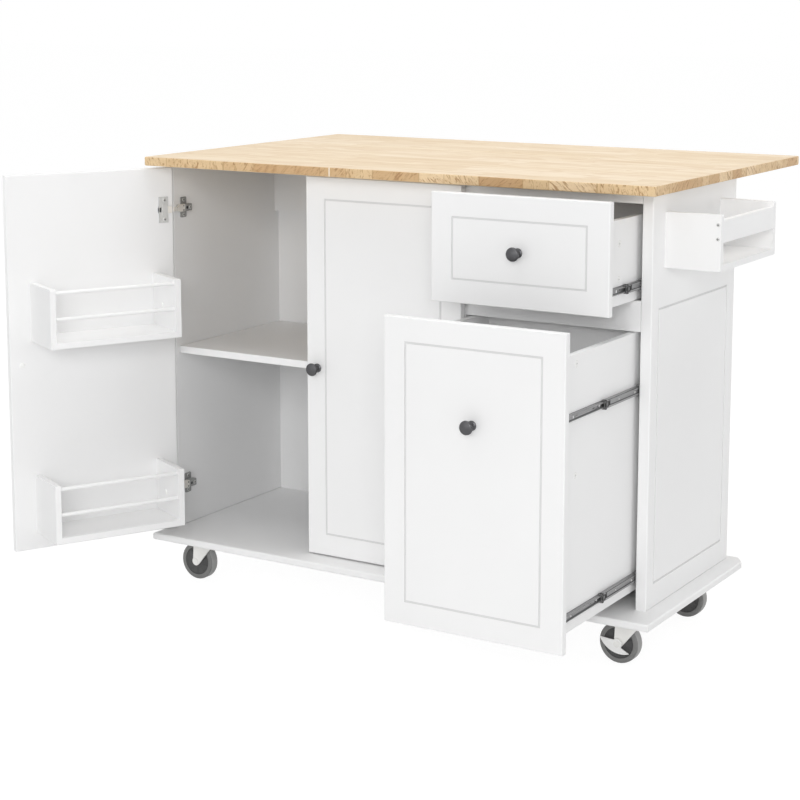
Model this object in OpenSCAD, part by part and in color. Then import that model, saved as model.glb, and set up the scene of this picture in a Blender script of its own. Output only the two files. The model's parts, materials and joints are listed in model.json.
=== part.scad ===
// Drop leaf kitchen island on casters: cupboard with two doors, door racks and an inner shelf,
// two drawers on telescopic slides, a side spice rack and a hinged leaf carried by two swing-out wings.
// Millimetres, +Z up, +Y to the back. Every piece stands in one frame: its z = 0 is the floor.

/* [Overall] */
// Height of the worktop above the floor
total_height = 914; // [840:1:980]
// Width of the worktop and of the leaf
worktop_w = 1143; // [1000:1:1300]
// Depth of the fixed worktop
worktop_d = 472; // [420:1:560]
// Thickness of the worktop and of the leaf
worktop_t = 19; // [15:1:30]
// How far the worktop's front edge stands in front of the base board
worktop_lead = 3.5; // [0:0.5:20]
// Depth of the hinged leaf
leaf_d = 250.5; // [230:0.5:300]
// Gap between the worktop and the raised leaf
leaf_gap = 1; // [0.6:0.1:3]
// Radius on the edges of the worktop and the leaf
worktop_edge_r = 2.5; // [1:0.5:6]

/* [Base board] */
// Width of the base board
base_w = 1145; // [1000:1:1300]
// Depth of the base board
base_d = 485; // [430:1:560]
// Thickness of the base board
base_t = 15; // [12:1:25]
// Radius on the base board's edges
base_edge_r = 4; // [1:0.5:6]
// Cut of the base board's back corners along its width
base_cut_x = 20; // [5:1:40]
// Cut of the base board's back corners along its depth
base_cut_y = 28; // [5:1:40]

/* [Carcass] */
// Thickness of the left side panel
side_t = 18; // [15:1:25]
// Thickness of the right side panel, which carries the slides and the side rack
side_right_t = 22; // [15:1:28]
// How far the base board runs past the right side panel
right_ledge = 35; // [10:1:60]
// Distance from the base board's front edge to the side panels
side_front = 68; // [60:1:90]
// Depth of the side panels
side_d = 397.5; // [380:0.5:420]
// Radius on the side panels' edges
side_edge_r = 2.5; // [1:0.5:6]
// Thickness of the partition, the rails and the shelf
inner_t = 15; // [12:1:20]
// Clear width of the drawer bay
drawer_bay_w = 365; // [300:1:420]
// Thickness of the back panel
back_t = 4; // [3:0.5:8]
// Depth of the recess behind the back panel, where the wings fold
back_recess = 13.5; // [12:0.5:20]
// Height of the back rails
back_rail_h = 133; // [60:1:160]
// Height of the front rail above the drawers
front_rail_h = 22; // [15:1:40]
// Depth of the front rail above the drawers
front_rail_d = 18; // [12:1:40]
// Gap between the worktop and what stops below it
top_gap = 2; // [1:0.5:5]
// Height of the shelf's underside above the floor
shelf_z = 490.5; // [300:0.5:700]
// Distance from the side panels' front edge to the shelf
shelf_back = 12; // [5:1:40]
// Gap at each end of the shelf
shelf_gap = 1; // [0.5:0.1:3]
// Radius of a shelf pin
shelf_pin_r = 2.5; // [2:0.5:4]
// Distance from the shelf's front edge and from the back panel to the shelf pins
shelf_pin_inset = 35; // [20:1:80]
// Distance from the right panel's front and back edges to its routed line
panel_line_inset = 31; // [20:1:60]
// Distance from the base board to the right panel's routed line
panel_line_lift = 45.5; // [20:0.5:80]
// Distance from the side rack down to the right panel's routed line
panel_line_drop = 72; // [20:1:120]

/* [Doors and drawer fronts] */
// Thickness of the doors and the drawer fronts
front_t = 16; // [15:1:22]
// Distance from the base board's front edge to the closed fronts
front_plane = 48.5; // [40:0.5:60]
// Width of the left door
door_left_w = 363; // [300:1:420]
// Width of the right door
door_right_w = 356; // [300:1:420]
// How far the left door stays inside the left panel's outer face
door_reveal = 1; // [0:0.5:4]
// Gap under the doors and the drawer fronts, and between the two drawer fronts
front_gap = 3; // [2:0.5:6]
// Gap above the doors and the upper drawer front
front_top_gap = 6.5; // [3:0.5:12]
// Gap between the right door and the drawer fronts
side_gap = 3.5; // [2:0.5:8]
// How far the drawer fronts cover the right side panel's front edge
right_cover = 1; // [0:0.5:10]
// Radius on the edges of the fronts
front_edge_r = 2; // [0.5:0.5:4]
// Distance from a front's edge to its routed line
groove_margin = 43; // [25:1:60]
// Width of the routed line
groove_w = 4; // [2:0.5:8]
// Depth of the routed line
groove_h = 2; // [1:0.5:4]
// Angle the left door stands open
door_open = 117.4; // [0:0.1:120]

/* [Knobs] */
// Radius of a knob's head
knob_r = 13; // [9:0.5:18]
// Radius of a knob's foot
knob_foot_r = 9; // [6:0.5:12]
// Radius of a knob's neck
knob_neck_r = 6; // [4:0.5:8]
// How far a knob stands off its front
knob_h = 27; // [20:1:36]
// Distance from a door's free edge to its knob
knob_inset = 25; // [18:1:45]
// Height of the door knobs above the floor
knob_z = 502; // [300:1:800]

/* [Cup hinges] */
// Distance from the hinge edge of a door to its turning axis
pivot_s = 9.5; // [9:0.1:12]
// Distance from the inner face of a door to its turning axis
pivot_o = 12; // [10:0.1:13]
// Distance from the hinge edge of a door to the middle of its cup
cup_s = 21.8; // [20:0.1:26]
// Radius of the cup's hole in the door
cup_r = 13; // [12:0.5:17.5]
// Depth of the cup's hole in the door
cup_depth = 13.6; // [13:0.1:14]
// Distance from the top of a door to its upper hinge, and from its foot to its lower hinge
hinge_inset = 88; // [60:1:140]
// Half height of the cup's flange
cup_flange_h = 27; // [22:1:32]
// Width of the hinge arm at its tip
arm_half_h = 5; // [4:0.5:7]

/* [Door racks] */
// Distance from the hinge edge to the racks
rack_s = 35.8; // [33:0.1:60]
// Length of a rack
rack_l = 281.6; // [200:0.1:300]
// Depth of a rack
rack_d = 112; // [60:1:130]
// Height of a rack's end boards
rack_h = 120; // [80:1:160]
// Thickness of a rack's boards
rack_t = 12; // [9:1:18]
// Height of the upper rack above the floor
rack_upper_z = 550; // [520:1:760]
// Height of the lower rack above the floor
rack_lower_z = 152; // [120:1:350]
// Distance from the door to the screw caps in the racks' end boards
cap_o = 45; // [20:1:80]
// Height of those screw caps above a rack's foot
cap_lift = 58; // [30:1:90]
// Radius of a screw cap
cap_r = 5.5; // [4:0.5:8]
// Radius of a rack's rods
rod_r = 4; // [3:0.5:6]
// Distance from the door to the middle of the rods
rod_o = 103.5; // [50:0.5:120]
// Height of the upper rod above the rack's foot
rod_high = 111; // [70:1:150]
// Height of the lower rod above the rack's foot
rod_low = 58; // [30:1:100]
// Depth of the rods' sockets in the end boards
rod_socket = 6; // [3:0.5:9]

/* [Drawers] */
// Height of the upper drawer's front
upper_front_h = 204; // [150:1:300]
// How far the upper drawer stands open
upper_open = 118.5; // [0:0.5:350]
// How far the lower drawer stands open
lower_open = 283.5; // [0:0.5:350]
// Thickness of a drawer's sides and back
drawer_side_t = 12; // [9:1:16]
// Thickness of a drawer's bottom
drawer_bottom_t = 4; // [3:0.5:8]
// Depth of the groove that holds a drawer's bottom
bottom_groove = 5; // [3:0.5:7]
// Height of a drawer's bottom above the foot of its sides
bottom_lift = 10; // [6:1:20]
// How far a drawer's sides stay below the top of its front
box_drop = 37.5; // [20:0.5:80]
// How far the upper drawer's sides start above the foot of its front
upper_box_lift = 12.5; // [8:0.5:60]
// How far the lower drawer's sides start above the foot of its front
lower_box_lift = 28.5; // [8:0.5:60]
// How far the lower drawer's sides stay below the top of its front
lower_box_drop = 45.5; // [20:0.5:80]
// Height of a drawer's back and front lip above the bottom's groove
drawer_back_drop = 0.5; // [0:0.5:20]

/* [Drawer slides] */
// Space for a slide beside a drawer
slide_space = 10.6; // [10.2:0.1:14]
// Length of a slide's members
slide_l = 350; // [300:10:360]
// Height of a slide's cabinet member
slide_h = 17; // [15:0.5:20]
// Thickness of the slides' sheet
slide_sheet = 1.2; // [1:0.1:1.6]
// Running gap between two members of a slide
slide_run = 0.5; // [0.3:0.1:0.8]
// Distance from the closed fronts' inner face to the slides
slide_back = 5.5; // [3:0.5:15]
// Height of the upper drawer's slides above the foot of its sides
upper_slide_lift = 27.5; // [15:0.5:100]
// Height of the lower drawer's lower slides above the foot of its sides
lower_slide_lift = 29; // [15:0.5:100]
// Distance between the lower drawer's two pairs of slides
lower_slide_pitch = 355.5; // [200:0.5:420]

/* [Side rack] */
// Distance from the right panel's front edge to the rack
side_rack_back = 52.4; // [10:0.1:100]
// Length of the rack
side_rack_l = 274; // [200:1:340]
// How far the rack stands off the panel
side_rack_d = 108.5; // [60:0.5:130]
// Height of the rack's end boards
side_rack_h = 103; // [70:1:140]
// Thickness of the rack's boards
side_rack_t = 12; // [9:1:18]
// Distance from the worktop's underside to the top of the rack
side_rack_drop = 40; // [10:1:200]
// Height of the rack's front rail above its foot
side_rail_lift = 51.5; // [30:0.5:90]
// Height of the rack's front rail
side_rail_h = 41; // [20:1:60]
// Radius on the side rack's and door racks' upper corners
rack_corner_r = 3; // [1:0.5:12]

/* [Leaf and wings] */
// Thickness of a wing
wing_t = 12; // [10:1:18]
// Length of a wing
wing_l = 248; // [180:1:260]
// Height of a wing
wing_h = 81.4; // [50:0.1:120]
// Gap between a wing and the leaf above it
wing_gap = 0.6; // [0.5:0.1:1]
// Depth of the notch in a wing's upper edge
wing_notch_h = 21; // [10:0.5:40]
// Length of the tab beyond the notch
wing_tab_l = 41; // [20:1:60]
// Length of the shoulder between the hinge and the notch
wing_shoulder_l = 6; // [4:1:15]
// Length of the wooden block in the notch
wing_block_l = 38; // [20:1:60]
// Radius of the hinge barrels under the leaf
leaf_barrel_r = 3.2; // [2.8:0.1:3.4]
// Radius of the wings' hinge barrels
wing_barrel_r = 3; // [2.5:0.1:3.2]
// Radius of the hinge pins
pin_r = 1.5; // [1.2:0.1:2]
// Thickness of the hinge plates
plate_t = 1.5; // [1:0.1:2]
// Width of a leaf hinge
leaf_hinge_w = 60; // [40:1:76]
// Distance from the side panels' inner faces to the outer leaf hinges
leaf_hinge_inset = 79; // [76:1:120]
// Depth of a leaf hinge's plates
leaf_plate_d = 18; // [12:1:24]
// Distance from a leaf hinge's pin to its plates
leaf_plate_gap = 5; // [4:0.5:8]
// Height of a wing hinge
wing_hinge_h = 44; // [30:1:54]

/* [Casters] */
// Height from the floor to the base board
caster_h = 97.5; // [90:0.5:110]
// Radius of a wheel
wheel_r = 40; // [35:0.5:42]
// Width of a wheel
wheel_w = 24; // [18:1:30]
// How far a wheel trails its swivel
wheel_trail = 17; // [10:1:25]
// Distance from the base board's middle to the swivels
caster_x = 497; // [400:1:520]
// Distance from the base board's front edge to the front swivels
caster_front = 86; // [60:1:110]
// Distance from the base board's front edge to the back swivels
caster_back = 400; // [360:1:440]
// Side of a caster's mounting plate
caster_plate = 60; // [50:1:70]
// Radius of an axle
axle_r = 4; // [3:0.5:6]

/* [Hidden] */
$fn = 24;
run = 0.05;
sheet_gap = 0.3;

white = [0.93, 0.93, 0.92];
beech = [0.90, 0.79, 0.62];
pale_wood = [0.88, 0.76, 0.58];
steel = [0.72, 0.73, 0.74];
zinc = [0.80, 0.80, 0.80];
gunmetal = [0.20, 0.20, 0.21];
tyre_grey = [0.30, 0.30, 0.30];

// Outline of the object as it stands, with the door and the drawers open as modelled
frame_x = -48.754;
frame_y = 221.038;

base_z1 = caster_h + base_t;
top_z0 = total_height - worktop_t;
side_back = side_front + side_d;
back_y1 = side_back - back_recess;
back_y0 = back_y1 - back_t;
left_x0 = -base_w / 2;
left_in = left_x0 + side_t;
right_x1 = base_w / 2 - right_ledge;
right_in = right_x1 - side_right_t;
part_x1 = right_in - drawer_bay_w;
part_x0 = part_x1 - inner_t;
worktop_y1 = worktop_d - worktop_lead;
leaf_y0 = worktop_y1 + leaf_gap;

front_y1 = front_plane + front_t;
front_z0 = base_z1 + front_gap;
front_z1 = top_z0 - front_top_gap;
door_h = front_z1 - front_z0;
door_left_x0 = left_x0 + door_reveal;
door_right_x1 = part_x1;
drawer_x0 = part_x1 + side_gap;
drawer_x1 = right_in + right_cover;
upper_front_z0 = front_z1 - upper_front_h;
lower_front_z1 = upper_front_z0 - front_gap;
hinge_zs = [front_z0 + hinge_inset, front_z1 - hinge_inset];

box_x0 = part_x1 + slide_space;
box_x1 = right_in - slide_space;
slide_y0 = front_y1 + slide_back;
upper_z0 = upper_front_z0 + upper_box_lift;
upper_z1 = front_z1 - box_drop;
lower_z0 = front_z0 + lower_box_lift;
lower_z1 = lower_front_z1 - lower_box_drop;
upper_slides = [upper_z0 + upper_slide_lift];
lower_slides = [lower_z0 + lower_slide_lift, lower_z0 + lower_slide_lift + lower_slide_pitch];

hinge_y = worktop_y1 + leaf_gap / 2;
hinge_z = top_z0 - leaf_barrel_r - 0.3;
wing_off = 3.1;
wing_reach = 10.7;
wing_pin_y = back_y1 + plate_t + 2;
wing_pin_gap = 3.3;
wing_z1 = top_z0 - wing_gap;
wing_z0 = wing_z1 - wing_h;
notch_z = wing_z1 - wing_notch_h;
leaf_hinge_xs = [left_in + leaf_hinge_inset, 0, right_in - leaf_hinge_inset];
side_rack_z = top_z0 - side_rack_drop - side_rack_h;

wheel_z = wheel_r;
swivel_plate_t = 2.5;
race_h = 7;
crown_t = 5.5;
crown_z1 = caster_h - swivel_plate_t - race_h - sheet_gap;
fork_in = wheel_w / 2 + 1;
fork_t = 2.5;
fork_w = 46;
washer_t = 1.5;
pedal_t = 2.5;

// ---- helpers ----

module placed() {
    translate([-frame_x, -frame_y, 0]) children();
}

// Flat outline with rounded corners, from its lower left corner
module soft_rect(w, h, r) {
    translate([r, 0]) square([w - 2 * r, h]);
    translate([0, r]) square([w, h - 2 * r]);
    for (x = [r, w - r], y = [r, h - r]) translate([x, y]) circle(r);
}

// Flat outlines drawn in X and Z, Y and Z, run along the third axis
module along_y(y0, len) {
    translate([0, y0 + len, 0]) rotate([90, 0, 0]) linear_extrude(len) children();
}

module along_x(x0, len) {
    translate([x0, 0, 0]) rotate([90, 0, 90]) linear_extrude(len) children();
}

// Board with rounded edges, thin along one axis, from its lowest corner
module board_y(p, s, r) {
    translate(p) intersection() {
        linear_extrude(s[2]) soft_rect(s[0], s[1], r);
        along_x(0, s[0]) soft_rect(s[1], s[2], r);
    }
}

module board_z(p, s, r) {
    translate(p) intersection() {
        along_y(0, s[1]) soft_rect(s[0], s[2], r);
        along_x(0, s[0]) soft_rect(s[1], s[2], r);
    }
}

module board_x(p, s, r) {
    translate(p) intersection() {
        linear_extrude(s[2]) soft_rect(s[0], s[1], r);
        along_y(0, s[1]) soft_rect(s[0], s[2], r);
    }
}

module box(p, s) {
    translate(p) cube(s);
}

// Routed line: a rectangle of the groove's width
module groove_line(w, h) {
    difference() {
        square([w, h]);
        translate([groove_w, groove_w]) square([w - 2 * groove_w, h - 2 * groove_w]);
    }
}

// Front with its routed line, face towards -Y at y = 0
module front_board(w, h) {
    m = groove_margin;
    difference() {
        board_y([0, 0, 0], [w, front_t, h], front_edge_r);
        along_y(-1, 1 + groove_h) translate([m, m]) groove_line(w - 2 * m, h - 2 * m);
    }
}

// Knob on a face at y = 0, standing towards -Y
module knob() {
    head = knob_r - 4;
    rotate([90, 0, 0]) rotate_extrude($fn = 32)
        polygon(concat(
            [[0, 0], [knob_foot_r, 0], [knob_foot_r, 1.5], [knob_neck_r + 0.8, 3]],
            [[knob_neck_r, 5], [knob_neck_r, knob_h - 15], [knob_neck_r + 1, knob_h - 12.5]],
            [[knob_r - 2, knob_h - 9.5]],
            [for (a = [-15:15:75]) [head + 4 * cos(a), knob_h - 6 + 4 * sin(a)]],
            [[head - 3, knob_h - 0.9], [head - 6, knob_h - 0.2], [0, knob_h]]
        ));
}

// Door frame of one hinge: s runs from the hinge edge, o from the inner face, both along the closed door
module on_left_door() {
    translate([door_left_x0 + pivot_s, front_y1 - pivot_o, 0]) rotate([0, 0, -door_open])
        translate([-pivot_s, pivot_o, 0]) children();
}

module on_right_door() {
    translate([door_right_x1, front_y1, 0]) mirror([1, 0, 0]) children();
}

module cup_hole() {
    translate([cup_s, -cup_depth, 0]) rotate([-90, 0, 0]) cylinder(r = cup_r, h = cup_depth + 1, $fn = 48);
}

module door_board(w, side) {
    difference() {
        translate([0, -front_t, front_z0]) front_board(w, door_h);
        for (z = hinge_zs) translate([0, 0, z]) cup_hole();
    }
}

// Cup, flange and knuckle of one hinge, in the door's frame
module hinge_cup() {
    rim = 1.5;
    shell = cup_r - run;
    difference() {
        union() {
            translate([cup_s, -cup_depth + 0.1, 0]) rotate([-90, 0, 0])
                cylinder(r = shell, h = cup_depth - 0.1 + rim, $fn = 48);
            box([cup_s - 10.4, 0, -cup_flange_h], [21, rim, 2 * cup_flange_h]);
            box([2.5, 0.3, -7], [10.5, 1.2, 14]);
            box([5, 0.3, -7], [8, 2.3, 14]);
            for (z = [-20, 20]) translate([cup_s - 2, rim, z]) rotate([-90, 0, 0]) cylinder(r = 3.5, h = 1);
        }
        translate([cup_s, -cup_depth + 0.5, 0]) rotate([-90, 0, 0])
            cylinder(r = shell - 0.75, h = cup_depth + 5, $fn = 48);
    }
}

// Arm and plate of one hinge; face is the distance from the hinge edge to the board that carries it
module hinge_arm(face) {
    plate_top = 19;
    box([face, 29.5, -21.5], [plate_top - face, 21, 43]);
    box([face, 8, -7], [plate_top - face, 60, 14]);
    box([18.5, 2.3, -7], [11.5, 61.7, 14]);
    box([25.2, -12.5, -arm_half_h], [4.8, 16, 2 * arm_half_h]);
    for (z = [-15.5, 15.5]) translate([plate_top, 40, z]) rotate([0, 90, 0]) cylinder(r = 3.5, h = 1.2);
    translate([30, 50, 0]) rotate([0, 90, 0]) cylinder(r = 3.5, h = 1);
}

// Two end boards and a shelf, hung on the door's inner face
module door_rack(z) {
    ends = [rack_s, rack_s + rack_l - rack_t];
    difference() {
        union() {
            for (s = ends) rack_end(s, z);
            box([rack_s + rack_t, 0, z], [rack_l - 2 * rack_t, rack_d, rack_t]);
        }
        for (h = [rod_low, rod_high]) translate([rack_s + rack_t - rod_socket, rod_o, z + h])
            rotate([0, 90, 0]) cylinder(r = rod_r + run, h = rack_l - 2 * (rack_t - rod_socket));
    }
}

module rack_end(s, z) {
    along_x(s, rack_t) translate([0, z]) union() {
        square([rack_d, rack_h - rack_corner_r]);
        square([rack_d - rack_corner_r, rack_h]);
        translate([rack_d - rack_corner_r, rack_h - rack_corner_r]) circle(rack_corner_r);
    }
}

module door_rods(z) {
    for (h = [rod_low, rod_high]) translate([rack_s + rack_t - rod_socket + 0.3, rod_o, z + h])
        rotate([0, 90, 0]) cylinder(r = rod_r, h = rack_l - 2 * (rack_t - rod_socket) - 0.6);
}

// Slide sections in X and Z, with the cabinet's face at x = 0 and the drawer at x = slide_space
module channel(x0, x1, h) {
    t = slide_sheet;
    translate([x0, -h / 2]) square([t, h]);
    for (s = [-1, 1]) translate([x0, s > 0 ? h / 2 - t : -h / 2]) square([x1 - x0, t]);
    for (s = [-1, 1]) translate([x1 - 1, s > 0 ? h / 2 - t - 0.5 : -h / 2]) square([1, t + 0.5]);
}

module rail_section() {
    channel(0, slide_space - slide_sheet - 2 * slide_run - 1, slide_h);
}

module middle_section() {
    h = slide_h - 2 * slide_sheet - 1 - 2 * slide_run;
    channel(slide_sheet + slide_run, slide_space - slide_sheet - slide_run, h);
}

module runner_section() {
    t = slide_sheet;
    h = slide_h - 4 * slide_sheet - 2 - 4 * slide_run;
    x0 = 2 * slide_sheet + 2 * slide_run;
    translate([slide_space - t, -6]) square([t, 12]);
    for (s = [-1, 1]) translate([x0, s > 0 ? h / 2 - t : -h / 2]) square([slide_space - x0 - t / 2, t]);
}

module both_sides() {
    translate([part_x1, 0, 0]) children();
    translate([right_in, 0, 0]) mirror([1, 0, 0]) children();
}

module slide_members(zs, y0) {
    for (z = zs) both_sides() along_y(y0, slide_l) translate([0, z]) children();
}

// Sides with the groove for the bottom
module drawer_sides(z0, z1, y0) {
    difference() {
        union() {
            box([box_x0, y0, z0], [drawer_side_t, slide_l, z1 - z0]);
            box([box_x1 - drawer_side_t, y0, z0], [drawer_side_t, slide_l, z1 - z0]);
        }
        drawer_bottom_space(z0, y0, 0);
    }
}

module drawer_bottom_space(z0, y0, gap) {
    w = box_x1 - box_x0 - 2 * (drawer_side_t - bottom_groove);
    box([box_x0 + drawer_side_t - bottom_groove + gap, y0, z0 + bottom_lift],
        [w - 2 * gap, slide_l, drawer_bottom_t]);
}

module drawer_back(z0, z1, y0) {
    z = z0 + bottom_lift + drawer_bottom_t;
    box([box_x0 + drawer_side_t, y0 + slide_l - drawer_side_t, z],
        [box_x1 - box_x0 - 2 * drawer_side_t, drawer_side_t, z1 - z - drawer_back_drop]);
}

// Hinge barrel along X, with a plate on one side
module barrel_x(x0, x1, r) {
    translate([x0, 0, 0]) rotate([0, 90, 0]) cylinder(r = r, h = x1 - x0);
}

// One wing in its own frame: the pin at the origin, L towards +X, the inner face at y = wing_off
module wing_board() {
    x1 = wing_reach + wing_l;
    difference() {
        box([wing_reach, wing_off, wing_z0], [wing_l, wing_t, wing_h]);
        box([wing_reach + wing_shoulder_l, wing_off - 1, notch_z],
            [wing_l - wing_tab_l - wing_shoulder_l, wing_t + 2, wing_notch_h + 1]);
    }
}

module wing_block() {
    x1 = wing_reach + wing_l - wing_tab_l;
    box([x1 - wing_block_l, wing_off, notch_z], [wing_block_l, wing_t, wing_notch_h - 3]);
}

module wing_hinge_leaf() {
    z = wing_z0 + 9;
    third = wing_hinge_h / 3;
    difference() {
        union() {
            box([0, wing_off - plate_t, z + third + sheet_gap], [36, plate_t, third - 2 * sheet_gap]);
            box([8, wing_off - plate_t, z], [28, plate_t, wing_hinge_h]);
            translate([0, 0, z + third + sheet_gap]) cylinder(r = wing_barrel_r, h = third - 2 * sheet_gap);
        }
        translate([0, 0, z]) cylinder(r = pin_r + run, h = wing_hinge_h);
    }
}

module wing_hinge_root() {
    z = wing_z0 + 9;
    third = wing_hinge_h / 3;
    y = -2 - plate_t;
    for (k = [0, 2]) {
        box([0, y, z + k * third], [30, plate_t, third]);
        translate([0, 0, z + k * third]) cylinder(r = wing_barrel_r, h = third);
    }
    box([8, y, z], [28, plate_t, wing_hinge_h]);
    translate([0, 0, z]) cylinder(r = pin_r, h = wing_hinge_h);
}

module on_right_wing() {
    translate([right_in - wing_pin_gap, wing_pin_y, 0]) mirror([1, 0, 0]) children();
}

module on_left_wing() {
    translate([left_in + wing_pin_gap, wing_pin_y, 0]) children();
}

// ---- carcass ----

module base_board() {
    color(white) placed() difference() {
        board_z([left_x0, 0, caster_h], [base_w, base_d, base_t], base_edge_r);
        for (s = [-1, 1]) translate([s * base_w / 2, base_d, caster_h - 1]) linear_extrude(base_t + 2)
            polygon([[0, 1], [0, -base_cut_y], [-s * base_cut_x, 0], [-s * base_cut_x, 1]]);
    }
}

module side_panel(x0, t) {
    board_x([x0, side_front, base_z1], [t, side_d, top_z0 - base_z1], side_edge_r);
}

module side_panel_left() {
    color(white) placed() side_panel(left_x0, side_t);
}

module side_panel_right() {
    line_y = side_front + panel_line_inset - 1.5;
    line_d = side_d - 2 * panel_line_inset - 4;
    line_z = base_z1 + panel_line_lift;
    line_h = side_rack_z - panel_line_drop - line_z;
    color(white) placed() difference() {
        side_panel(right_in, side_right_t);
        along_x(right_x1 - groove_h, groove_h + 1) translate([line_y, line_z]) groove_line(line_d, line_h);
    }
}

module partition() {
    color(white) placed()
        box([part_x0, side_front, base_z1], [inner_t, back_y0 - side_front, top_z0 - base_z1]);
}

module back_panel() {
    color(white) placed()
        box([left_in, back_y0, base_z1], [right_in - left_in, back_t, top_z0 - top_gap - base_z1]);
}

module bays(y0, z0, d, h) {
    box([left_in, y0, z0], [part_x0 - left_in, d, h]);
    box([part_x1, y0, z0], [right_in - part_x1, d, h]);
}

module cross_rails() {
    color(white) placed() {
        bays(back_y0 - inner_t, top_z0 - top_gap - back_rail_h, inner_t, back_rail_h);
        box([part_x1, side_front, top_z0 - front_rail_h], [right_in - part_x1, front_rail_d, front_rail_h]);
        box([part_x1, side_front, lower_z1 + top_gap],
            [right_in - part_x1, inner_t, upper_z0 - lower_z1 - 2 * top_gap]);
    }
}

module shelf() {
    y0 = side_front + shelf_back;
    color(white) placed()
        board_y([left_in + shelf_gap, y0, shelf_z],
            [part_x0 - left_in - 2 * shelf_gap, back_y0 - 2 - y0, inner_t], 1);
}

module shelf_pins() {
    y0 = side_front + shelf_back;
    color(steel) placed() for (y = [y0 + shelf_pin_inset, back_y0 - shelf_pin_inset]) {
        translate([left_in, y, shelf_z - shelf_pin_r]) rotate([0, 90, 0]) cylinder(r = shelf_pin_r, h = 9);
        translate([part_x0 - 9, y, shelf_z - shelf_pin_r]) rotate([0, 90, 0]) cylinder(r = shelf_pin_r, h = 9);
    }
}

module worktop() {
    color(beech) placed()
        board_z([-worktop_w / 2, -worktop_lead, top_z0], [worktop_w, worktop_d, worktop_t], worktop_edge_r);
}

module hinge_arms() {
    color(steel) placed() for (z = hinge_zs) {
        translate([door_left_x0, front_y1, z]) hinge_arm(left_in - door_left_x0);
        translate([door_right_x1, front_y1, z]) mirror([1, 0, 0]) hinge_arm(part_x1 - part_x0);
    }
}

// ---- doors ----

module door_left() {
    color(white) placed() on_left_door() door_board(door_left_w);
}

module hinge_cups_left() {
    color(steel) placed() on_left_door() for (z = hinge_zs) translate([0, 0, z]) hinge_cup();
}

module knob_left() {
    color(gunmetal) placed() on_left_door() translate([door_left_w - knob_inset, -front_t, knob_z]) knob();
}

module upper_door_rack() {
    color(white) placed() on_left_door() door_rack(rack_upper_z);
}

module lower_door_rack() {
    color(white) placed() on_left_door() door_rack(rack_lower_z);
}

module door_rack_rods() {
    color(white) placed() on_left_door() for (z = [rack_upper_z, rack_lower_z]) door_rods(z);
}

module screw_cap() {
    cylinder(r1 = cap_r, r2 = cap_r - 1, h = 1.5);
}

module door_screw_caps() {
    s0 = rack_s + rack_t;
    s1 = rack_s + rack_l - rack_t;
    color(white) placed() on_left_door() {
        for (z = [rack_upper_z, rack_lower_z]) {
            translate([s0, cap_o, z + cap_lift]) rotate([0, 90, 0]) screw_cap();
            translate([s1, cap_o, z + cap_lift]) rotate([0, -90, 0]) screw_cap();
        }
        translate([door_left_w - knob_inset, 0, knob_z]) rotate([-90, 0, 0]) screw_cap();
    }
}

module door_right() {
    color(white) placed() on_right_door() door_board(door_right_w);
}

module hinge_cups_right() {
    color(steel) placed() on_right_door() for (z = hinge_zs) translate([0, 0, z]) hinge_cup();
}

module knob_right() {
    color(gunmetal) placed() on_right_door() translate([door_right_w - knob_inset, -front_t, knob_z]) knob();
}

// ---- drawers ----

module upper_drawer_front() {
    color(white) placed() translate([drawer_x0, front_plane - upper_open, upper_front_z0])
        front_board(drawer_x1 - drawer_x0, upper_front_h);
}

module upper_drawer_sides() {
    color(white) placed() drawer_sides(upper_z0, upper_z1, front_y1 - upper_open);
}

module upper_drawer_back() {
    color(white) placed() drawer_back(upper_z0, upper_z1, front_y1 - upper_open);
}

module upper_drawer_bottom() {
    color(white) placed() drawer_bottom_space(upper_z0, front_y1 - upper_open, run);
}

module upper_drawer_knob() {
    color(gunmetal) placed()
        translate([(drawer_x0 + drawer_x1) / 2, front_plane - upper_open, (upper_front_z0 + front_z1) / 2]) knob();
}

module upper_drawer_runners() {
    color(steel) placed() slide_members(upper_slides, slide_y0 - upper_open) runner_section();
}

module upper_slide_middles() {
    color(steel) placed() slide_members(upper_slides, slide_y0 - upper_open / 2) middle_section();
}

module lower_drawer_front() {
    color(white) placed() translate([drawer_x0, front_plane - lower_open, front_z0])
        front_board(drawer_x1 - drawer_x0, lower_front_z1 - front_z0);
}

module lower_drawer_sides() {
    color(white) placed() drawer_sides(lower_z0, lower_z1, front_y1 - lower_open);
}

module lower_drawer_back() {
    color(white) placed() drawer_back(lower_z0, lower_z1, front_y1 - lower_open);
}

module lower_drawer_bottom() {
    color(white) placed() drawer_bottom_space(lower_z0, front_y1 - lower_open, run);
}

module lower_drawer_knob() {
    color(gunmetal) placed()
        translate([(drawer_x0 + drawer_x1) / 2, front_plane - lower_open, knob_z]) knob();
}

module lower_drawer_runners() {
    color(steel) placed() slide_members(lower_slides, slide_y0 - lower_open) runner_section();
}

module lower_slide_middles() {
    color(steel) placed() slide_members(lower_slides, slide_y0 - lower_open / 2) middle_section();
}

module slide_rails() {
    color(steel) placed() slide_members(concat(upper_slides, lower_slides), slide_y0) rail_section();
}

// ---- side rack ----

side_rack_y0 = side_front + side_rack_back;

module side_rack_end(y0) {
    d = side_rack_d;
    h = side_rack_h;
    r = rack_corner_r;
    along_y(y0, side_rack_t) translate([right_x1, side_rack_z]) union() {
        square([d, h - r]);
        square([d - r, h]);
        translate([d - r, h - r]) circle(r);
    }
}

module side_rack_ends() {
    color(white) placed() {
        side_rack_end(side_rack_y0);
        side_rack_end(side_rack_y0 + side_rack_l - side_rack_t);
    }
}

module side_rack_shelf() {
    color(white) placed()
        box([right_x1, side_rack_y0 + side_rack_t, side_rack_z],
            [side_rack_d, side_rack_l - 2 * side_rack_t, side_rack_t]);
}

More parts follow.
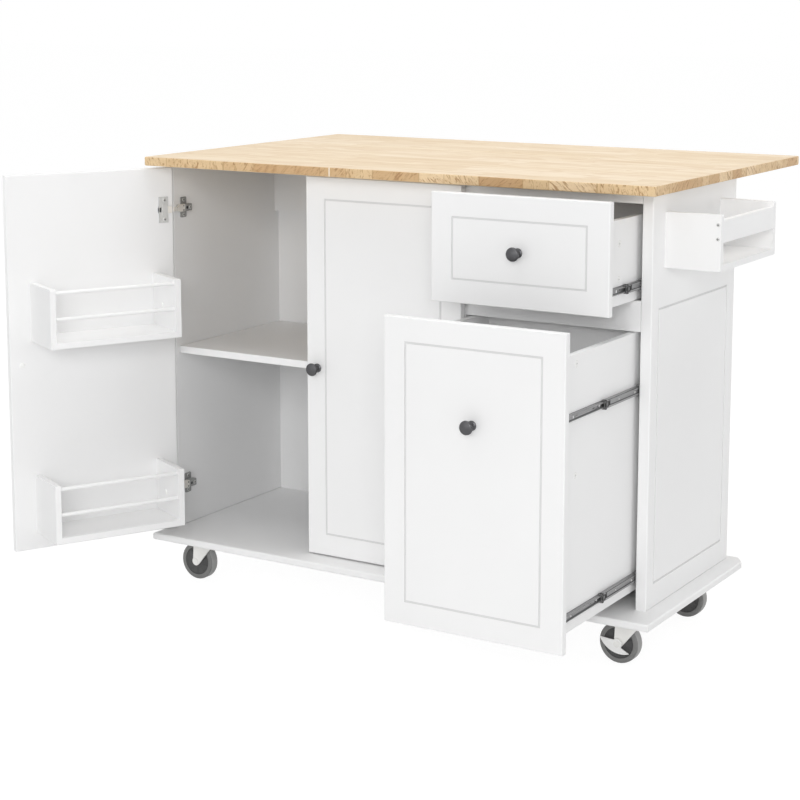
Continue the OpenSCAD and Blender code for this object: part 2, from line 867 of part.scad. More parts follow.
module side_rack_rail() {
    color(white) placed()
        box([right_x1 + side_rack_d - side_rack_t, side_rack_y0 + side_rack_t, side_rack_z + side_rail_lift],
            [side_rack_t, side_rack_l - 2 * side_rack_t, side_rail_h]);
}

module side_rack_screws() {
    x = right_x1 + side_rack_d - side_rack_t / 2;
    z = side_rack_z + side_rail_lift + side_rail_h / 2;
    color(steel) placed() for (dz = [-13, 13]) {
        translate([x, side_rack_y0, z + dz]) rotate([90, 0, 0]) cylinder(r1 = 3.5, r2 = 2.5, h = 1);
        translate([x, side_rack_y0 + side_rack_l, z + dz]) rotate([-90, 0, 0])
            cylinder(r1 = 3.5, r2 = 2.5, h = 1);
    }
}

// ---- leaf and wings ----

module leaf() {
    color(beech) placed()
        board_z([-worktop_w / 2, leaf_y0, top_z0], [worktop_w, leaf_d, worktop_t], worktop_edge_r);
}

module leaf_hinge_fixed() {
    third = leaf_hinge_w / 3;
    color(steel) placed() for (x = leaf_hinge_xs) translate([x, hinge_y, hinge_z]) {
        x0 = -leaf_hinge_w / 2;
        for (k = [0, 2]) {
            barrel_x(x0 + k * third, x0 + (k + 1) * third, leaf_barrel_r);
            box([x0 + k * third, -10, top_z0 - hinge_z - plate_t], [third, 9.5, plate_t]);
        }
        box([x0, -leaf_plate_gap - leaf_plate_d, top_z0 - hinge_z - plate_t],
            [leaf_hinge_w, leaf_plate_d, plate_t]);
        barrel_x(x0, x0 + leaf_hinge_w, pin_r);
    }
}

module leaf_hinge_moving() {
    third = leaf_hinge_w / 3;
    g = sheet_gap;
    color(steel) placed() for (x = leaf_hinge_xs) translate([x, hinge_y, hinge_z]) difference() {
        union() {
            barrel_x(g - third / 2, third / 2 - g, leaf_barrel_r);
            box([g - third / 2, 0.5, top_z0 - hinge_z - plate_t], [third - 2 * g, 9.5, plate_t]);
            box([-leaf_hinge_w / 2, leaf_plate_gap, top_z0 - hinge_z - plate_t],
                [leaf_hinge_w, leaf_plate_d, plate_t]);
        }
        barrel_x(-third, third, pin_r + run);
    }
}

module wing_hinge_fixed() {
    color(steel) placed() {
        on_right_wing() wing_hinge_root();
        on_left_wing() wing_hinge_root();
    }
}

module wing_right() {
    color(white) placed() on_right_wing() wing_board();
}

module wing_block_right() {
    color(pale_wood) placed() on_right_wing() wing_block();
}

module wing_hinge_right() {
    color(steel) placed() on_right_wing() wing_hinge_leaf();
}

module wing_left() {
    color(white) placed() on_left_wing() wing_board();
}

module wing_block_left() {
    color(pale_wood) placed() on_left_wing() wing_block();
}

module wing_hinge_left() {
    color(steel) placed() on_left_wing() wing_hinge_leaf();
}

// ---- casters ----

module at_caster(sx, y) {
    translate([sx * caster_x, y, 0]) children();
}

// Mounting plate with four screws, ball race and kingpin
module caster_top() {
    h = caster_plate / 2;
    z0 = caster_h - swivel_plate_t;
    translate([-h, -h, z0]) linear_extrude(swivel_plate_t) soft_rect(caster_plate, caster_plate, 5);
    translate([0, 0, z0 - race_h]) cylinder(r = 22, h = race_h, $fn = 48);
    for (x = [-1, 1], y = [-1, 1]) translate([x * (h - 6), y * (h - 6), z0 - 1.6]) cylinder(r = 4, h = 1.6);
    translate([0, 0, crown_z1 - crown_t - 1]) cylinder(r = axle_r, h = crown_t + 2);
    translate([0, 0, crown_z1 - crown_t - 2.4]) cylinder(r = 6, h = 1.8);
}

module caster_plates() {
    color(zinc) placed() for (s = [-1, 1], y = [caster_front, caster_back]) at_caster(s, y) caster_top();
}

// Fork: a crown under the race and two legs that lean to the axle
module caster_fork(braked) {
    z1 = crown_z1;
    z0 = z1 - crown_t;
    w = fork_in + fork_t;
    reach = braked ? washer_t + pedal_t + 1.5 : washer_t;
    difference() {
        union() {
            translate([0, 0, z0]) cylinder(r = 20, h = crown_t, $fn = 48);
            for (s = [-1, 1]) along_y(s > 0 ? fork_in : -w, fork_t) fork_leg(z0 + 1);
            translate([-wheel_trail, w + washer_t, wheel_z]) rotate([90, 0, 0])
                cylinder(r = axle_r, h = 2 * w + washer_t + reach);
            for (s = [-1, 1]) translate([-wheel_trail, s * (w + washer_t / 2), wheel_z]) rotate([90, 0, 0])
                cylinder(r = axle_r + 2, h = washer_t, center = true);
            if (braked) translate([-wheel_trail, -w - reach, wheel_z]) rotate([-90, 0, 0])
                cylinder(r = axle_r + 2, h = 1.2);
        }
        translate([0, 0, z0 - 1]) cylinder(r = axle_r + run, h = crown_t + 2);
    }
}

module fork_leg(z1) {
    x = -wheel_trail;
    polygon([[x - 5, z1], [fork_w + x - 5, z1], [fork_w + x - 5, z1 - 7], [x + 8, wheel_z - 5],
        [x - 8, wheel_z - 4], [x - 7, wheel_z + 8]]);
    translate([x, wheel_z]) circle(9);
}

module caster_wheel() {
    translate([-wheel_trail, 0, wheel_z]) rotate([90, 0, 0]) difference() {
        rotate_extrude($fn = 64) wheel_section();
        cylinder(r = axle_r + run, h = wheel_w + 2, center = true);
    }
}

module wheel_section() {
    h = wheel_w / 2;
    polygon(concat(
        [[0, -h], [11, -h], [12, -h + 1.5], [wheel_r - 12, -h + 4], [wheel_r - 10, -h + 1]],
        [for (a = [-75:15:75]) [wheel_r - 4 + 4 * cos(a), (h - 4.5) * (a < 0 ? -1 : 1) + 4 * sin(a)]],
        [[wheel_r - 10, h - 1], [wheel_r - 12, h - 4], [12, h - 1.5], [11, h], [0, h]]
    ));
}

// Brake pedal: a blade beside the fork, turning on the axle behind its head
module brake_pedal() {
    y0 = -(fork_in + fork_t + washer_t + pedal_t);
    arc_r = 48;
    arc = [for (a = [155:-8.5:70]) [8.5 + arc_r * cos(a), arc_r * sin(a) - 29.5]];
    translate([-wheel_trail, y0, wheel_z]) rotate([-90, 0, 0]) difference() {
        union() {
            cylinder(r = axle_r + 6, h = pedal_t);
            linear_extrude(pedal_t) polygon(concat([[5, 5], [-3, -7]], arc));
        }
        translate([0, 0, -1]) cylinder(r = axle_r + run, h = 6);
    }
}

module caster_fork_fl() {
    color(zinc) placed() at_caster(-1, caster_front) caster_fork(false);
}

module caster_fork_fr() {
    color(zinc) placed() at_caster(1, caster_front) caster_fork(true);
}

module caster_fork_bl() {
    color(zinc) placed() at_caster(-1, caster_back) caster_fork(true);
}

module caster_fork_br() {
    color(zinc) placed() at_caster(1, caster_back) caster_fork(false);
}

module caster_wheel_fl() {
    color(tyre_grey) placed() at_caster(-1, caster_front) caster_wheel();
}

module caster_wheel_fr() {
    color(tyre_grey) placed() at_caster(1, caster_front) caster_wheel();
}

module caster_wheel_bl() {
    color(tyre_grey) placed() at_caster(-1, caster_back) caster_wheel();
}

module caster_wheel_br() {
    color(tyre_grey) placed() at_caster(1, caster_back) caster_wheel();
}

module brake_pedal_fr() {
    color(white) placed() at_caster(1, caster_front) brake_pedal();
}

module brake_pedal_bl() {
    color(white) placed() at_caster(-1, caster_back) brake_pedal();
}

base_board();
side_panel_left();
side_panel_right();
partition();
back_panel();
cross_rails();
shelf();
shelf_pins();
worktop();
hinge_arms();
slide_rails();
leaf_hinge_fixed();
wing_hinge_fixed();
side_rack_ends();
side_rack_shelf();
side_rack_rail();
side_rack_screws();
caster_plates();
door_left();
knob_left();
hinge_cups_left();
upper_door_rack();
lower_door_rack();
door_rack_rods();
door_screw_caps();
door_right();
knob_right();
hinge_cups_right();
upper_drawer_front();
upper_drawer_sides();
upper_drawer_back();
upper_drawer_bottom();
upper_drawer_knob();
upper_drawer_runners();
upper_slide_middles();
lower_drawer_front();
lower_drawer_sides();
lower_drawer_back();
lower_drawer_bottom();
lower_drawer_knob();
lower_drawer_runners();
lower_slide_middles();
leaf();
leaf_hinge_moving();
wing_right();
wing_block_right();
wing_hinge_right();
wing_left();
wing_block_left();
wing_hinge_left();
caster_fork_fl();
caster_fork_fr();
caster_fork_bl();
caster_fork_br();
caster_wheel_fl();
caster_wheel_fr();
caster_wheel_bl();
caster_wheel_br();
brake_pedal_fr();
brake_pedal_bl();
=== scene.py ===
import json
import math
from collections import defaultdict

import bmesh
import bpy
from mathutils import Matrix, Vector


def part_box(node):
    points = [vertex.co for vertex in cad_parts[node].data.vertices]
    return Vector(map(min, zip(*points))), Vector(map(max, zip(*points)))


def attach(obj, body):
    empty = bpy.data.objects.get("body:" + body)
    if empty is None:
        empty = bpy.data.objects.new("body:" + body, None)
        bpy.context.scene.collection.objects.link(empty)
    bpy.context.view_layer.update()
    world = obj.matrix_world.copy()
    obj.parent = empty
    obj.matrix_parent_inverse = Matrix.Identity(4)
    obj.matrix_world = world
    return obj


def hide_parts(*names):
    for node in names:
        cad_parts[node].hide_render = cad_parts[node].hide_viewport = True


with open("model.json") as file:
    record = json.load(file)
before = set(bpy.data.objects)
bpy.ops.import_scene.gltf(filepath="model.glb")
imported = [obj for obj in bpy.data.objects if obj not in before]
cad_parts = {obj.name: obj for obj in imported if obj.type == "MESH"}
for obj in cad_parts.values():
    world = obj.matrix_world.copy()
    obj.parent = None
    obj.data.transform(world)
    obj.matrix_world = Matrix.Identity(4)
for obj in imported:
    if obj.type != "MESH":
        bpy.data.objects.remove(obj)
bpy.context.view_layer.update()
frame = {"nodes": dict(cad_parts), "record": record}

nodes = frame["nodes"]

# The part's source measures from the middle of the base board's front edge. In the row frame it lies here.
OFFSET = Vector((0.048754, -0.221038, 0.0))
X, Y, Z = Vector((1, 0, 0)), Vector((0, 1, 0)), Vector((0, 0, 1))


def at(x, y, z):
    """A point given in millimetres, as the part's source gives it."""
    return Vector((x / 1000, y / 1000, z / 1000)) + OFFSET


# ---------------------------------------------------------------- materials

WHITE = (1, 1, 1, 1)


def srgb(r, g, b):
    def linear(c):
        return c / 12.92 if c <= 0.04045 else ((c + 0.055) / 1.055) ** 2.4
    return (linear(r / 255), linear(g / 255), linear(b / 255), 1.0)


def grey(level):
    return (level, level, level, 1)


class Graph:
    """A node tree with short calls: an input takes a number, a colour or another node's output."""

    def __init__(self, owner, output="ShaderNodeOutputMaterial"):
        self.owner = owner
        owner.use_nodes = True
        self.tree = owner.node_tree
        self.tree.nodes.clear()
        self.out = self.tree.nodes.new(output)

    def plug(self, socket, value):
        if isinstance(value, bpy.types.NodeSocket):
            self.tree.links.new(value, socket)
        else:
            socket.default_value = value

    def add(self, kind, inputs=None, **settings):
        node = self.tree.nodes.new(kind)
        for key, value in settings.items():
            setattr(node, key, value)
        for key, value in (inputs or {}).items():
            self.plug(node.inputs[key], value)
        return node

    def math(self, operation, a, b=0.0):
        return self.add("ShaderNodeMath", {0: a, 1: b}, operation=operation).outputs[0]

    def plus(self, a, b):
        return self.math("ADD", a, b)

    def minus(self, a, b):
        return self.math("SUBTRACT", a, b)

    def times(self, a, b):
        return self.math("MULTIPLY", a, b)

    def over(self, a, b):
        return self.math("DIVIDE", a, b)

    def whole(self, a):
        return self.math("FLOOR", a)

    def absolute(self, a):
        return self.math("ABSOLUTE", a)

    def mix(self, factor, a, b):
        # a colour mix keeps its factor and its two colours in inputs 0, 6 and 7, and its result in output 2
        return self.add("ShaderNodeMix", {0: factor, 6: a, 7: b}, data_type="RGBA").outputs[2]

    def ramp(self, factor, stops):
        node = self.add("ShaderNodeValToRGB", {0: factor})
        elements = node.color_ramp.elements
        while len(elements) < len(stops):
            elements.new(0.5)
        for element, (position, colour) in zip(elements, stops):
            element.position = position
            element.color = colour
        return node.outputs[0]

    def stain(self, base, mask, stops, colour):
        """Lay a colour over the base, as strongly as the stops say for each value of the mask."""
        return self.mix(self.ramp(mask, [(p, grey(strength)) for p, strength in stops]), base, colour)

    def noise(self, vector, scale, detail=2.0, rough=0.5, distortion=0.0):
        return self.add("ShaderNodeTexNoise", {"Vector": vector, "Scale": scale, "Detail": detail,
                                               "Roughness": rough, "Distortion": distortion}).outputs[0]

    def stretched(self, vector, scale, detail=2.0, rough=0.5, distortion=0.0):
        """Noise with a scale of its own along each axis."""
        return self.noise(self.mapping(vector, scale=scale), 1.0, detail, rough, distortion)

    def mapping(self, vector, scale=(1, 1, 1), location=(0, 0, 0)):
        return self.add("ShaderNodeMapping", {"Vector": vector, "Scale": scale,
                                              "Location": location}).outputs[0]

    def spread(self, value, low, high):
        return self.add("ShaderNodeMapRange", {"Value": value, "To Min": low, "To Max": high}).outputs[0]

    def vector(self, x, y, z=0.0):
        return self.add("ShaderNodeCombineXYZ", {0: x, 1: y, 2: z}).outputs[0]

    def axes(self, vector):
        return self.add("ShaderNodeSeparateXYZ", {0: vector}).outputs

    def object_point(self):
        return self.add("ShaderNodeTexCoord").outputs["Object"]

    def shaded(self, colour, rough, height, strength, distance, **more):
        """The finished material: a principled shader with a bump."""
        normal = self.add("ShaderNodeBump", {"Strength": strength, "Distance": distance,
                                             "Height": height}).outputs[0]
        inputs = {"Base Color": colour, "Roughness": rough, "Normal": normal, **more}
        return self.surface(self.add("ShaderNodeBsdfPrincipled", inputs))

    def surface(self, shader):
        self.tree.links.new(shader.outputs[0], self.out.inputs[0])
        return self.owner

    def seen_rays(self):
        """1 for a ray that carries what the camera sees, straight, mirrored or through glass."""
        rays = self.add("ShaderNodeLightPath").outputs
        mirrored_or_through = self.math("MAXIMUM", rays["Is Glossy Ray"], rays["Is Transmission Ray"])
        return self.math("MAXIMUM", rays["Is Camera Ray"], mirrored_or_through)


def material_graph(name):
    return Graph(bpy.data.materials.new(name))


def paint(name, light, dark, roughness=0.42, bump=0.02):
    """Sprayed paint or plain plastic: a faint cloud in the colour and orange peel in the bump."""
    g = material_graph(name)
    point = g.object_point()
    colour = g.ramp(g.noise(point, 3.0, 3.0), [(0.3, dark), (0.7, light)])
    peel = g.noise(point, 900.0)
    soft = g.noise(point, 60.0)
    rough = g.spread(soft, roughness - 0.04, roughness + 0.05)
    return g.shaded(colour, rough, g.plus(peel, soft), bump, 0.001, IOR=1.46)


def metal(name, colour, roughness, metallic=1.0, brush=(1, 1, 1), bump=0.03):
    """Plated or rolled metal; brush stretches its fine grain."""
    g = material_graph(name)
    point = g.object_point()
    fine = g.noise(g.mapping(point, scale=brush), 700.0, 3.0)
    cloud = g.noise(point, 40.0)
    dull = (*(c * 0.8 for c in colour[:3]), 1)
    rough = g.spread(fine, roughness - 0.06, roughness + 0.06)
    return g.shaded(g.mix(cloud, dull, colour), rough, fine, bump, 0.0005, Metallic=metallic)


def rubber(name, light, dark, dusty=srgb(130, 129, 127)):
    """Moulded wheel: fine speckle, and dust in patches."""
    g = material_graph(name)
    point = g.object_point()
    fine = g.noise(point, 420.0, 3.0)
    dust = g.noise(point, 30.0, 3.0)
    colour = g.stain(g.mix(fine, dark, light), dust, [(0.5, 0), (0.8, 0.25)], dusty)
    return g.shaded(colour, g.spread(fine, 0.5, 0.66), fine, 0.08, 0.0006)


# Butcher block, in metres: rows of staves on the faces, short blocks on the edges
ROW_WIDTH = 0.041
STAVE_LENGTH = 0.33
FRONT_BLOCK = 0.075
SIDE_BLOCK = 0.038
SEAM_X = -0.0665
SEAM_HALF_WIDTH = 0.0012


def middle_distance(g, cells):
    """How far a point lies from the middle of its cell, 0 to 0.5, so that joints are where it nears 0.5."""
    return g.absolute(g.minus(g.math("FRACT", cells), 0.5))


def block_face(g, point):
    """Finger-jointed staves along x. Gives the colour and the grain."""
    px, py, _ = g.axes(point)
    rows = g.over(py, ROW_WIDTH)
    row = g.whole(rows)
    shift = g.add("ShaderNodeTexWhiteNoise", {"W": row}, noise_dimensions="1D").outputs[0]
    along = g.plus(g.over(px, STAVE_LENGTH), g.times(shift, 7.3))
    uneven = g.noise(g.vector(g.whole(along), row), 1.7, 0.0)
    stave = g.whole(g.plus(along, g.times(uneven, 0.5)))
    pick = g.add("ShaderNodeTexWhiteNoise", {"Vector": g.vector(stave, row)}, noise_dimensions="3D")
    tone = g.ramp(pick.outputs[0], [(0.0, srgb(229, 209, 179)), (0.3, srgb(235, 217, 189)),
                                    (0.65, srgb(240, 224, 200)), (1.0, srgb(231, 212, 183))])
    # each stave is cut from another part of the same wood
    wood = g.add("ShaderNodeVectorMath", {0: point, 1: pick.outputs[1]}, operation="ADD").outputs[0]
    grain = g.stretched(wood, (3.5, 95, 60), 5.0, 0.62, 0.9)
    figure = g.stretched(wood, (5, 42, 30), 3.0, 0.5, 2.2)
    swirl = g.stretched(wood, (2.0, 15, 11), 3.0, 0.5, 0.8)
    rings = g.math("SINE", g.times(swirl, 46.0))
    pores = g.stretched(wood, (60, 900, 500))
    face = g.stain(tone, grain, [(0.42, 0), (0.72, 0.42)], srgb(212, 184, 147))
    face = g.stain(face, figure, [(0.58, 0), (0.66, 0.3), (0.74, 0)], srgb(206, 175, 136))
    face = g.stain(face, rings, [(0.5, 0), (0.95, 0.4)], srgb(209, 179, 140))
    face = g.stain(face, pores, [(0.66, 0), (0.74, 0.35)], srgb(196, 164, 124))
    face = g.stain(face, middle_distance(g, rows), [(0.485, 0), (0.5, 0.35)], srgb(206, 174, 132))
    return face, grain


def block_edge(g, point, front):
    """Short blocks with slanted end grain; front is 1 on the long edges. Gives the colour and the streaks."""
    px, py, pz = g.axes(point)
    side = g.minus(1.0, front)
    along = g.plus(g.times(px, front), g.times(py, side))
    pitch = g.plus(g.times(front, FRONT_BLOCK), g.times(side, SIDE_BLOCK))
    cells = g.plus(g.over(along, pitch), 0.37)
    cells = g.plus(cells, g.times(g.math("SINE", g.times(cells, 2.3)), 0.2))
    cell = g.whole(cells)
    pick = g.add("ShaderNodeTexWhiteNoise", {"W": cell}, noise_dimensions="1D").outputs[0]
    tone = g.ramp(pick, [(0.0, srgb(203, 166, 122)), (0.35, srgb(219, 188, 144)),
                         (0.7, srgb(229, 201, 158)), (1.0, srgb(238, 212, 174))])
    slant = g.times(g.minus(pick, 0.5), 2.6)
    skewed = g.plus(along, g.times(slant, pz))
    streak = g.noise(g.vector(g.times(skewed, 150.0), g.times(pz, 55.0), cell), 1.0, 4.0, 0.65, 1.2)
    blotch = g.noise(g.vector(g.times(along, 34.0), g.times(pz, 60.0), 0.3), 1.0)
    speck = g.noise(g.vector(g.times(along, 480.0), g.times(pz, 420.0), cell), 1.0, 1.0)
    edge = g.stain(tone, streak, [(0.52, 0), (0.62, 0.85)], srgb(168, 126, 82))
    edge = g.stain(edge, blotch, [(0.5, 0), (0.75, 0.4)], srgb(198, 160, 112))
    edge = g.stain(edge, speck, [(0.66, 0), (0.78, 0.45)], srgb(146, 106, 66))
    edge = g.stain(edge, middle_distance(g, cells), [(0.482, 0), (0.494, 0.55)], srgb(176, 138, 92))
    seam = g.math("LESS_THAN", g.absolute(g.minus(px, SEAM_X)), SEAM_HALF_WIDTH)
    return g.mix(g.times(seam, front), edge, srgb(247, 238, 222)), streak


def butcher_block(name, seed=0.0):
    """Staves where a surface looks up or down, blocks on the edges. The seed shifts the pattern."""
    g = material_graph(name)
    coordinates = g.add("ShaderNodeTexCoord").outputs
    point = g.mapping(coordinates["Object"], location=(seed, seed * 0.37, 0))
    nx, ny, nz = [g.absolute(o) for o in g.axes(coordinates["Normal"])]
    face, grain = block_face(g, point)
    edge, streak = block_edge(g, point, g.math("GREATER_THAN", ny, nx))
    level = g.ramp(nz, [(0.55, grey(0)), (0.75, WHITE)])
    height = g.plus(g.times(grain, 0.6), g.times(streak, 0.4))
    return g.shaded(g.mix(level, edge, face), g.spread(grain, 0.56, 0.7), height, 0.05, 0.001)


MATERIALS = {
    "white_paint": paint("white_paint", srgb(244, 244, 244), srgb(241, 241, 241)),
    "beech": butcher_block("butcher_block"),
    "pale_wood": butcher_block("block_wood", 3.1),
    "steel": metal("nickel_steel", srgb(200, 201, 203), 0.34, brush=(1, 0.1, 1)),
    "zinc": metal("bright_zinc", srgb(248, 247, 244), 0.42, metallic=0.3),
    "slide_steel": metal("slide_steel", srgb(158, 158, 159), 0.36, metallic=0.6, brush=(1, 0.04, 1)),
    "pale_steel": metal("pale_steel", srgb(222, 222, 220), 0.42, metallic=0.35),
    "bright_nickel": metal("bright_nickel", srgb(250, 246, 239), 0.36, metallic=0.25),
    "grey_nickel": metal("grey_nickel", srgb(176, 176, 175), 0.42, metallic=0.55),
    # Painted shade: dark in the screws' cross recesses and in the holes of the hinge arms
    "recess_shade": paint("recess_shade", srgb(70, 70, 70), srgb(52, 52, 52), 0.6),
    # Painted shade: grey in the cam caps' cross and ring recesses
    "slot_shade": paint("slot_shade", srgb(206, 206, 205), srgb(198, 198, 197), 0.5),
    # Painted shade: grey on the floor of the routed lines
    "line_shade": paint("line_shade", srgb(222, 222, 222), srgb(218, 218, 218), 0.5),
    "black_plastic": paint("black_plastic", srgb(30, 30, 31), srgb(22, 22, 23), 0.4, 0.04),
    # Painted shade: darker strips along the slides' races and edges
    "slide_shade": metal("slide_shade", srgb(112, 112, 112), 0.45, metallic=0.5),
    "race_shade": metal("race_shade", srgb(48, 48, 48), 0.5, metallic=0.3),
    "tyre": rubber("tyre", srgb(130, 130, 129), srgb(114, 114, 113)),
    "tread": rubber("tread", srgb(168, 168, 167), srgb(154, 154, 153)),
    "wheel_core": rubber("wheel_core", srgb(80, 80, 80), srgb(64, 64, 64), srgb(108, 108, 106)),
    "gunmetal": metal("gunmetal", srgb(92, 92, 94), 0.36, metallic=0.85, bump=0.02),
    "wheel_grey": rubber("wheel_grey", srgb(136, 136, 135), srgb(118, 118, 118)),
    "white_plastic": paint("white_plastic", srgb(246, 246, 245), srgb(241, 241, 239), 0.36, 0.01),
}

for subpart in frame["record"]["subparts"]:
    slots = nodes[subpart["node"]].data.materials
    look = MATERIALS[subpart["material_slot"]]
    if slots:
        for i in range(len(slots)):
            slots[i] = look
    else:
        slots.append(look)


# ---------------------------------------------------------------- tools for the pieces

SHARP_ANGLE = 32
POLE = 1e-4
CORNER_STEPS = 3


class Place:
    """A place to build at: a, b and c in millimetres run along u, v and n from the origin."""

    def __init__(self, origin, u, v, n):
        self.origin, self.u, self.v, self.n = Vector(origin), Vector(u), Vector(v), Vector(n)

    def point(self, a, b, c):
        return self.origin + (self.u * a + self.v * b + self.n * c) / 1000

    def moved(self, a, b, c):
        return Place(self.point(a, b, c), self.u, self.v, self.n)


def add_to_scene(name, data):
    ob = bpy.data.objects.new(name, data)
    bpy.context.scene.collection.objects.link(ob)
    return ob


def finish_mesh(name, bm, look, body, angle=SHARP_ANGLE):
    """Turn the mesh into a piece that rides on a body; edges sharper than the angle stay sharp."""
    bmesh.ops.remove_doubles(bm, verts=bm.verts, dist=1e-6)
    bmesh.ops.recalc_face_normals(bm, faces=bm.faces)
    mesh = bpy.data.meshes.new(name)
    bm.to_mesh(mesh)
    bm.free()
    for face in mesh.polygons:
        face.use_smooth = True
    mesh.set_sharp_from_angle(angle=math.radians(angle))
    ob = add_to_scene(name, mesh)
    mesh.materials.append(MATERIALS[look])
    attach(ob, body)
    return ob


def node_size(node):
    """The lower and upper corner of a CAD node, in metres."""
    low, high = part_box(node)
    return Vector(low), Vector(high)


def skin(bm, rings, caps=True):
    """Join closed rings that have the same count of points."""
    rows = [[bm.verts.new(p) for p in ring] for ring in rings]
    count = len(rows[0])
    for lower, upper in zip(rows, rows[1:]):
        for i in range(count):
            j = (i + 1) % count
            bm.faces.new((lower[i], lower[j], upper[j], upper[i]))
    if caps:
        bm.faces.new(rows[0][::-1])
        bm.faces.new(rows[-1])


def lathe(bm, place, profile, segments):
    """Turn a profile of (radius, height) about the place's n axis; a radius of 0 makes a pole."""
    turns = [2 * math.pi * i / segments for i in range(segments)]
    rings = []
    for radius, height in profile:
        r = max(radius, POLE)
        rings.append([place.point(r * math.cos(t), r * math.sin(t), height) for t in turns])
    skin(bm, rings, caps=False)


def plate(bm, place, outline, height, bevel):
    """Raise a flat outline, given about its own middle, by a height with a small bevel."""
    def ring(c, cut):
        points = []
        for a, b in outline:
            reach = math.hypot(a, b)
            k = (reach - cut) / reach if reach > cut else 1.0
            points.append(place.point(a * k, b * k, c))
        return points
    skin(bm, [ring(0.0, 0.0), ring(height - bevel, 0.0), ring(height, bevel)])


def sweep(bm, place, section, length):
    """Run a closed section, drawn in u and v, along n."""
    skin(bm, [[place.point(a, b, c) for a, b in section] for c in (0, length)])


def rect(width, height, radius):
    """A rectangle with round corners about its own middle."""
    a, b = width / 2 - radius, height / 2 - radius
    points = []
    for x, y, start in ((a, b, 0), (-a, b, 90), (-a, -b, 180), (a, -b, 270)):
        for i in range(CORNER_STEPS + 1):
            t = math.radians(start + 90 * i / CORNER_STEPS)
            points.append((x + radius * math.cos(t), y + radius * math.sin(t)))
    return points


def cross(width, arm):
    """A cross about its own middle, with arms of this width."""
    a, b = width / 2, arm / 2
    quarter = [(a, b), (b, b), (b, a)]
    return (quarter + [(-x, y) for x, y in reversed(quarter)] + [(-x, -y) for x, y in quarter]
            + [(x, -y) for x, y in reversed(quarter)])


def disc(radius, height):
    """The profile of a flat disc, for lathe."""
    return [(0, 0), (radius, 0), (radius, height), (0, height)]


def lay_marks(meshes, place, marks, rounds):
    """Lay rectangular and round marks. Their tables name the mesh that each belongs to and its place."""
    for mesh, spot, size, height, bevel in marks:
        plate(meshes[mesh], place.moved(*spot), rect(*size), height, bevel)
    for mesh, spot, profile, segments in rounds:
        lathe(meshes[mesh], place.moved(*spot), profile, segments)


def screw(heads, crosses, place, radius, height):
    """Domed head with a cross recess; the recess is a mesh of its own in painted shade."""
    lathe(heads, place, [(0, 0), (radius, 0), (radius, height * 0.3), (radius * 0.86, height * 0.75),
                         (radius * 0.5, height), (0, height)], 20)
    plate(crosses, place.moved(0, 0, height - 0.05), cross(radius * 1.25, radius * 0.3), 0.1, 0.02)


def screws(head_name, cross_name, places, radius, height, body, look="pale_steel"):
    """Screws of one kind as two pieces, their heads and their crosses."""
    heads, crosses = bmesh.new(), bmesh.new()
    for place in places:
        screw(heads, crosses, place, radius, height)
    finish_mesh(head_name, heads, look, body)
    finish_mesh(cross_name, crosses, "recess_shade", body)


# ---------------------------------------------------------------- drawer slides
# Telescopic slides: three nested sections of rolled sheet with ball races between them. In a section, a runs
# from the board that carries the slide to the drawer, and b runs up.

# The photograph shows the sections this much taller than the part's source has them
SLIDE_TALL = 1.28
SLIDE_LENGTH = 350
SLIDE_GAP = 10.6
RAIL_Y = 70

# The faces that carry the slides, on the partition and the right panel, and the way from each to the drawer
BAY_FACES = ((150.5, X), (515.5, -X))


class Drawer:
    """A drawer that stands open at rest, with the heights of its slides and the place of its cam caps."""

    def __init__(self, level, out, slides, caps_y, caps):
        self.level, self.slides, self.caps_y, self.caps = level, slides, caps_y, caps
        self.body, self.middle_body = f"{level}_drawer", f"{level}_slide_mid"
        # a middle member moves half as far as its drawer
        self.middle_y, self.runner_y = RAIL_Y - out / 2, RAIL_Y - out


DRAWERS = (Drawer("upper", 118.5, (724.5,), -6.0, (744.0, 808.2)),
           Drawer("lower", 283.5, (173.0, 528.5), -170.4, (421.2, 618.9)))


def mirrored(half):
    return half + [(a, -b) for a, b in reversed(half)]


def tall(points):
    return [(a, b * SLIDE_TALL) for a, b in points]


def channel_section(outer, inner):
    return tall(mirrored(outer)[::-1] + mirrored(inner))


RAIL = channel_section(
    [(7.4, 6.9), (7.4, 7.9), (6.9, 8.4), (1.3, 8.4), (0.4, 7.8), (0.0, 6.8), (0.0, 3.0)],
    [(6.6, 6.9), (6.6, 7.4), (6.2, 7.5), (1.8, 7.5), (1.3, 7.0), (1.1, 6.4), (1.1, 3.0)])
MIDDLE = channel_section(
    [(8.9, 4.7), (8.9, 5.7), (8.4, 6.2), (2.9, 6.2), (2.1, 5.8), (1.75, 5.1), (1.75, 3.6), (2.0, 3.0),
     (2.7, 2.2), (3.1, 1.6), (3.2, 1.0)],
    [(8.1, 4.7), (8.1, 5.2), (7.7, 5.3), (3.4, 5.3), (2.9, 4.9), (2.8, 4.3), (2.8, 3.5), (3.1, 2.9),
     (3.8, 2.3), (4.2, 1.7), (4.3, 1.0)])
RUNNER = tall(mirrored(
    [(10.55, 5.7), (9.6, 5.7), (9.4, 5.5), (9.4, 4.3), (9.0, 4.0), (4.2, 4.0), (3.5, 3.6), (3.5, 3.1),
     (4.2, 2.9), (8.8, 2.9), (9.4, 2.4)]))
STOP = [(1.3, 8.6), (1.3, -8.6), (9.0, -8.6), (9.2, -8.2), (9.2, -7.0), (4.4, -7.0), (4.4, 7.0), (9.2, 7.0),
        (9.2, 8.2), (9.0, 8.6)]
STOP_ENDS = (1.0, 6.5)

# How far the face of each web lies from the board
MIDDLE_WEB, RUNNER_WEB = 1.7, 9.45
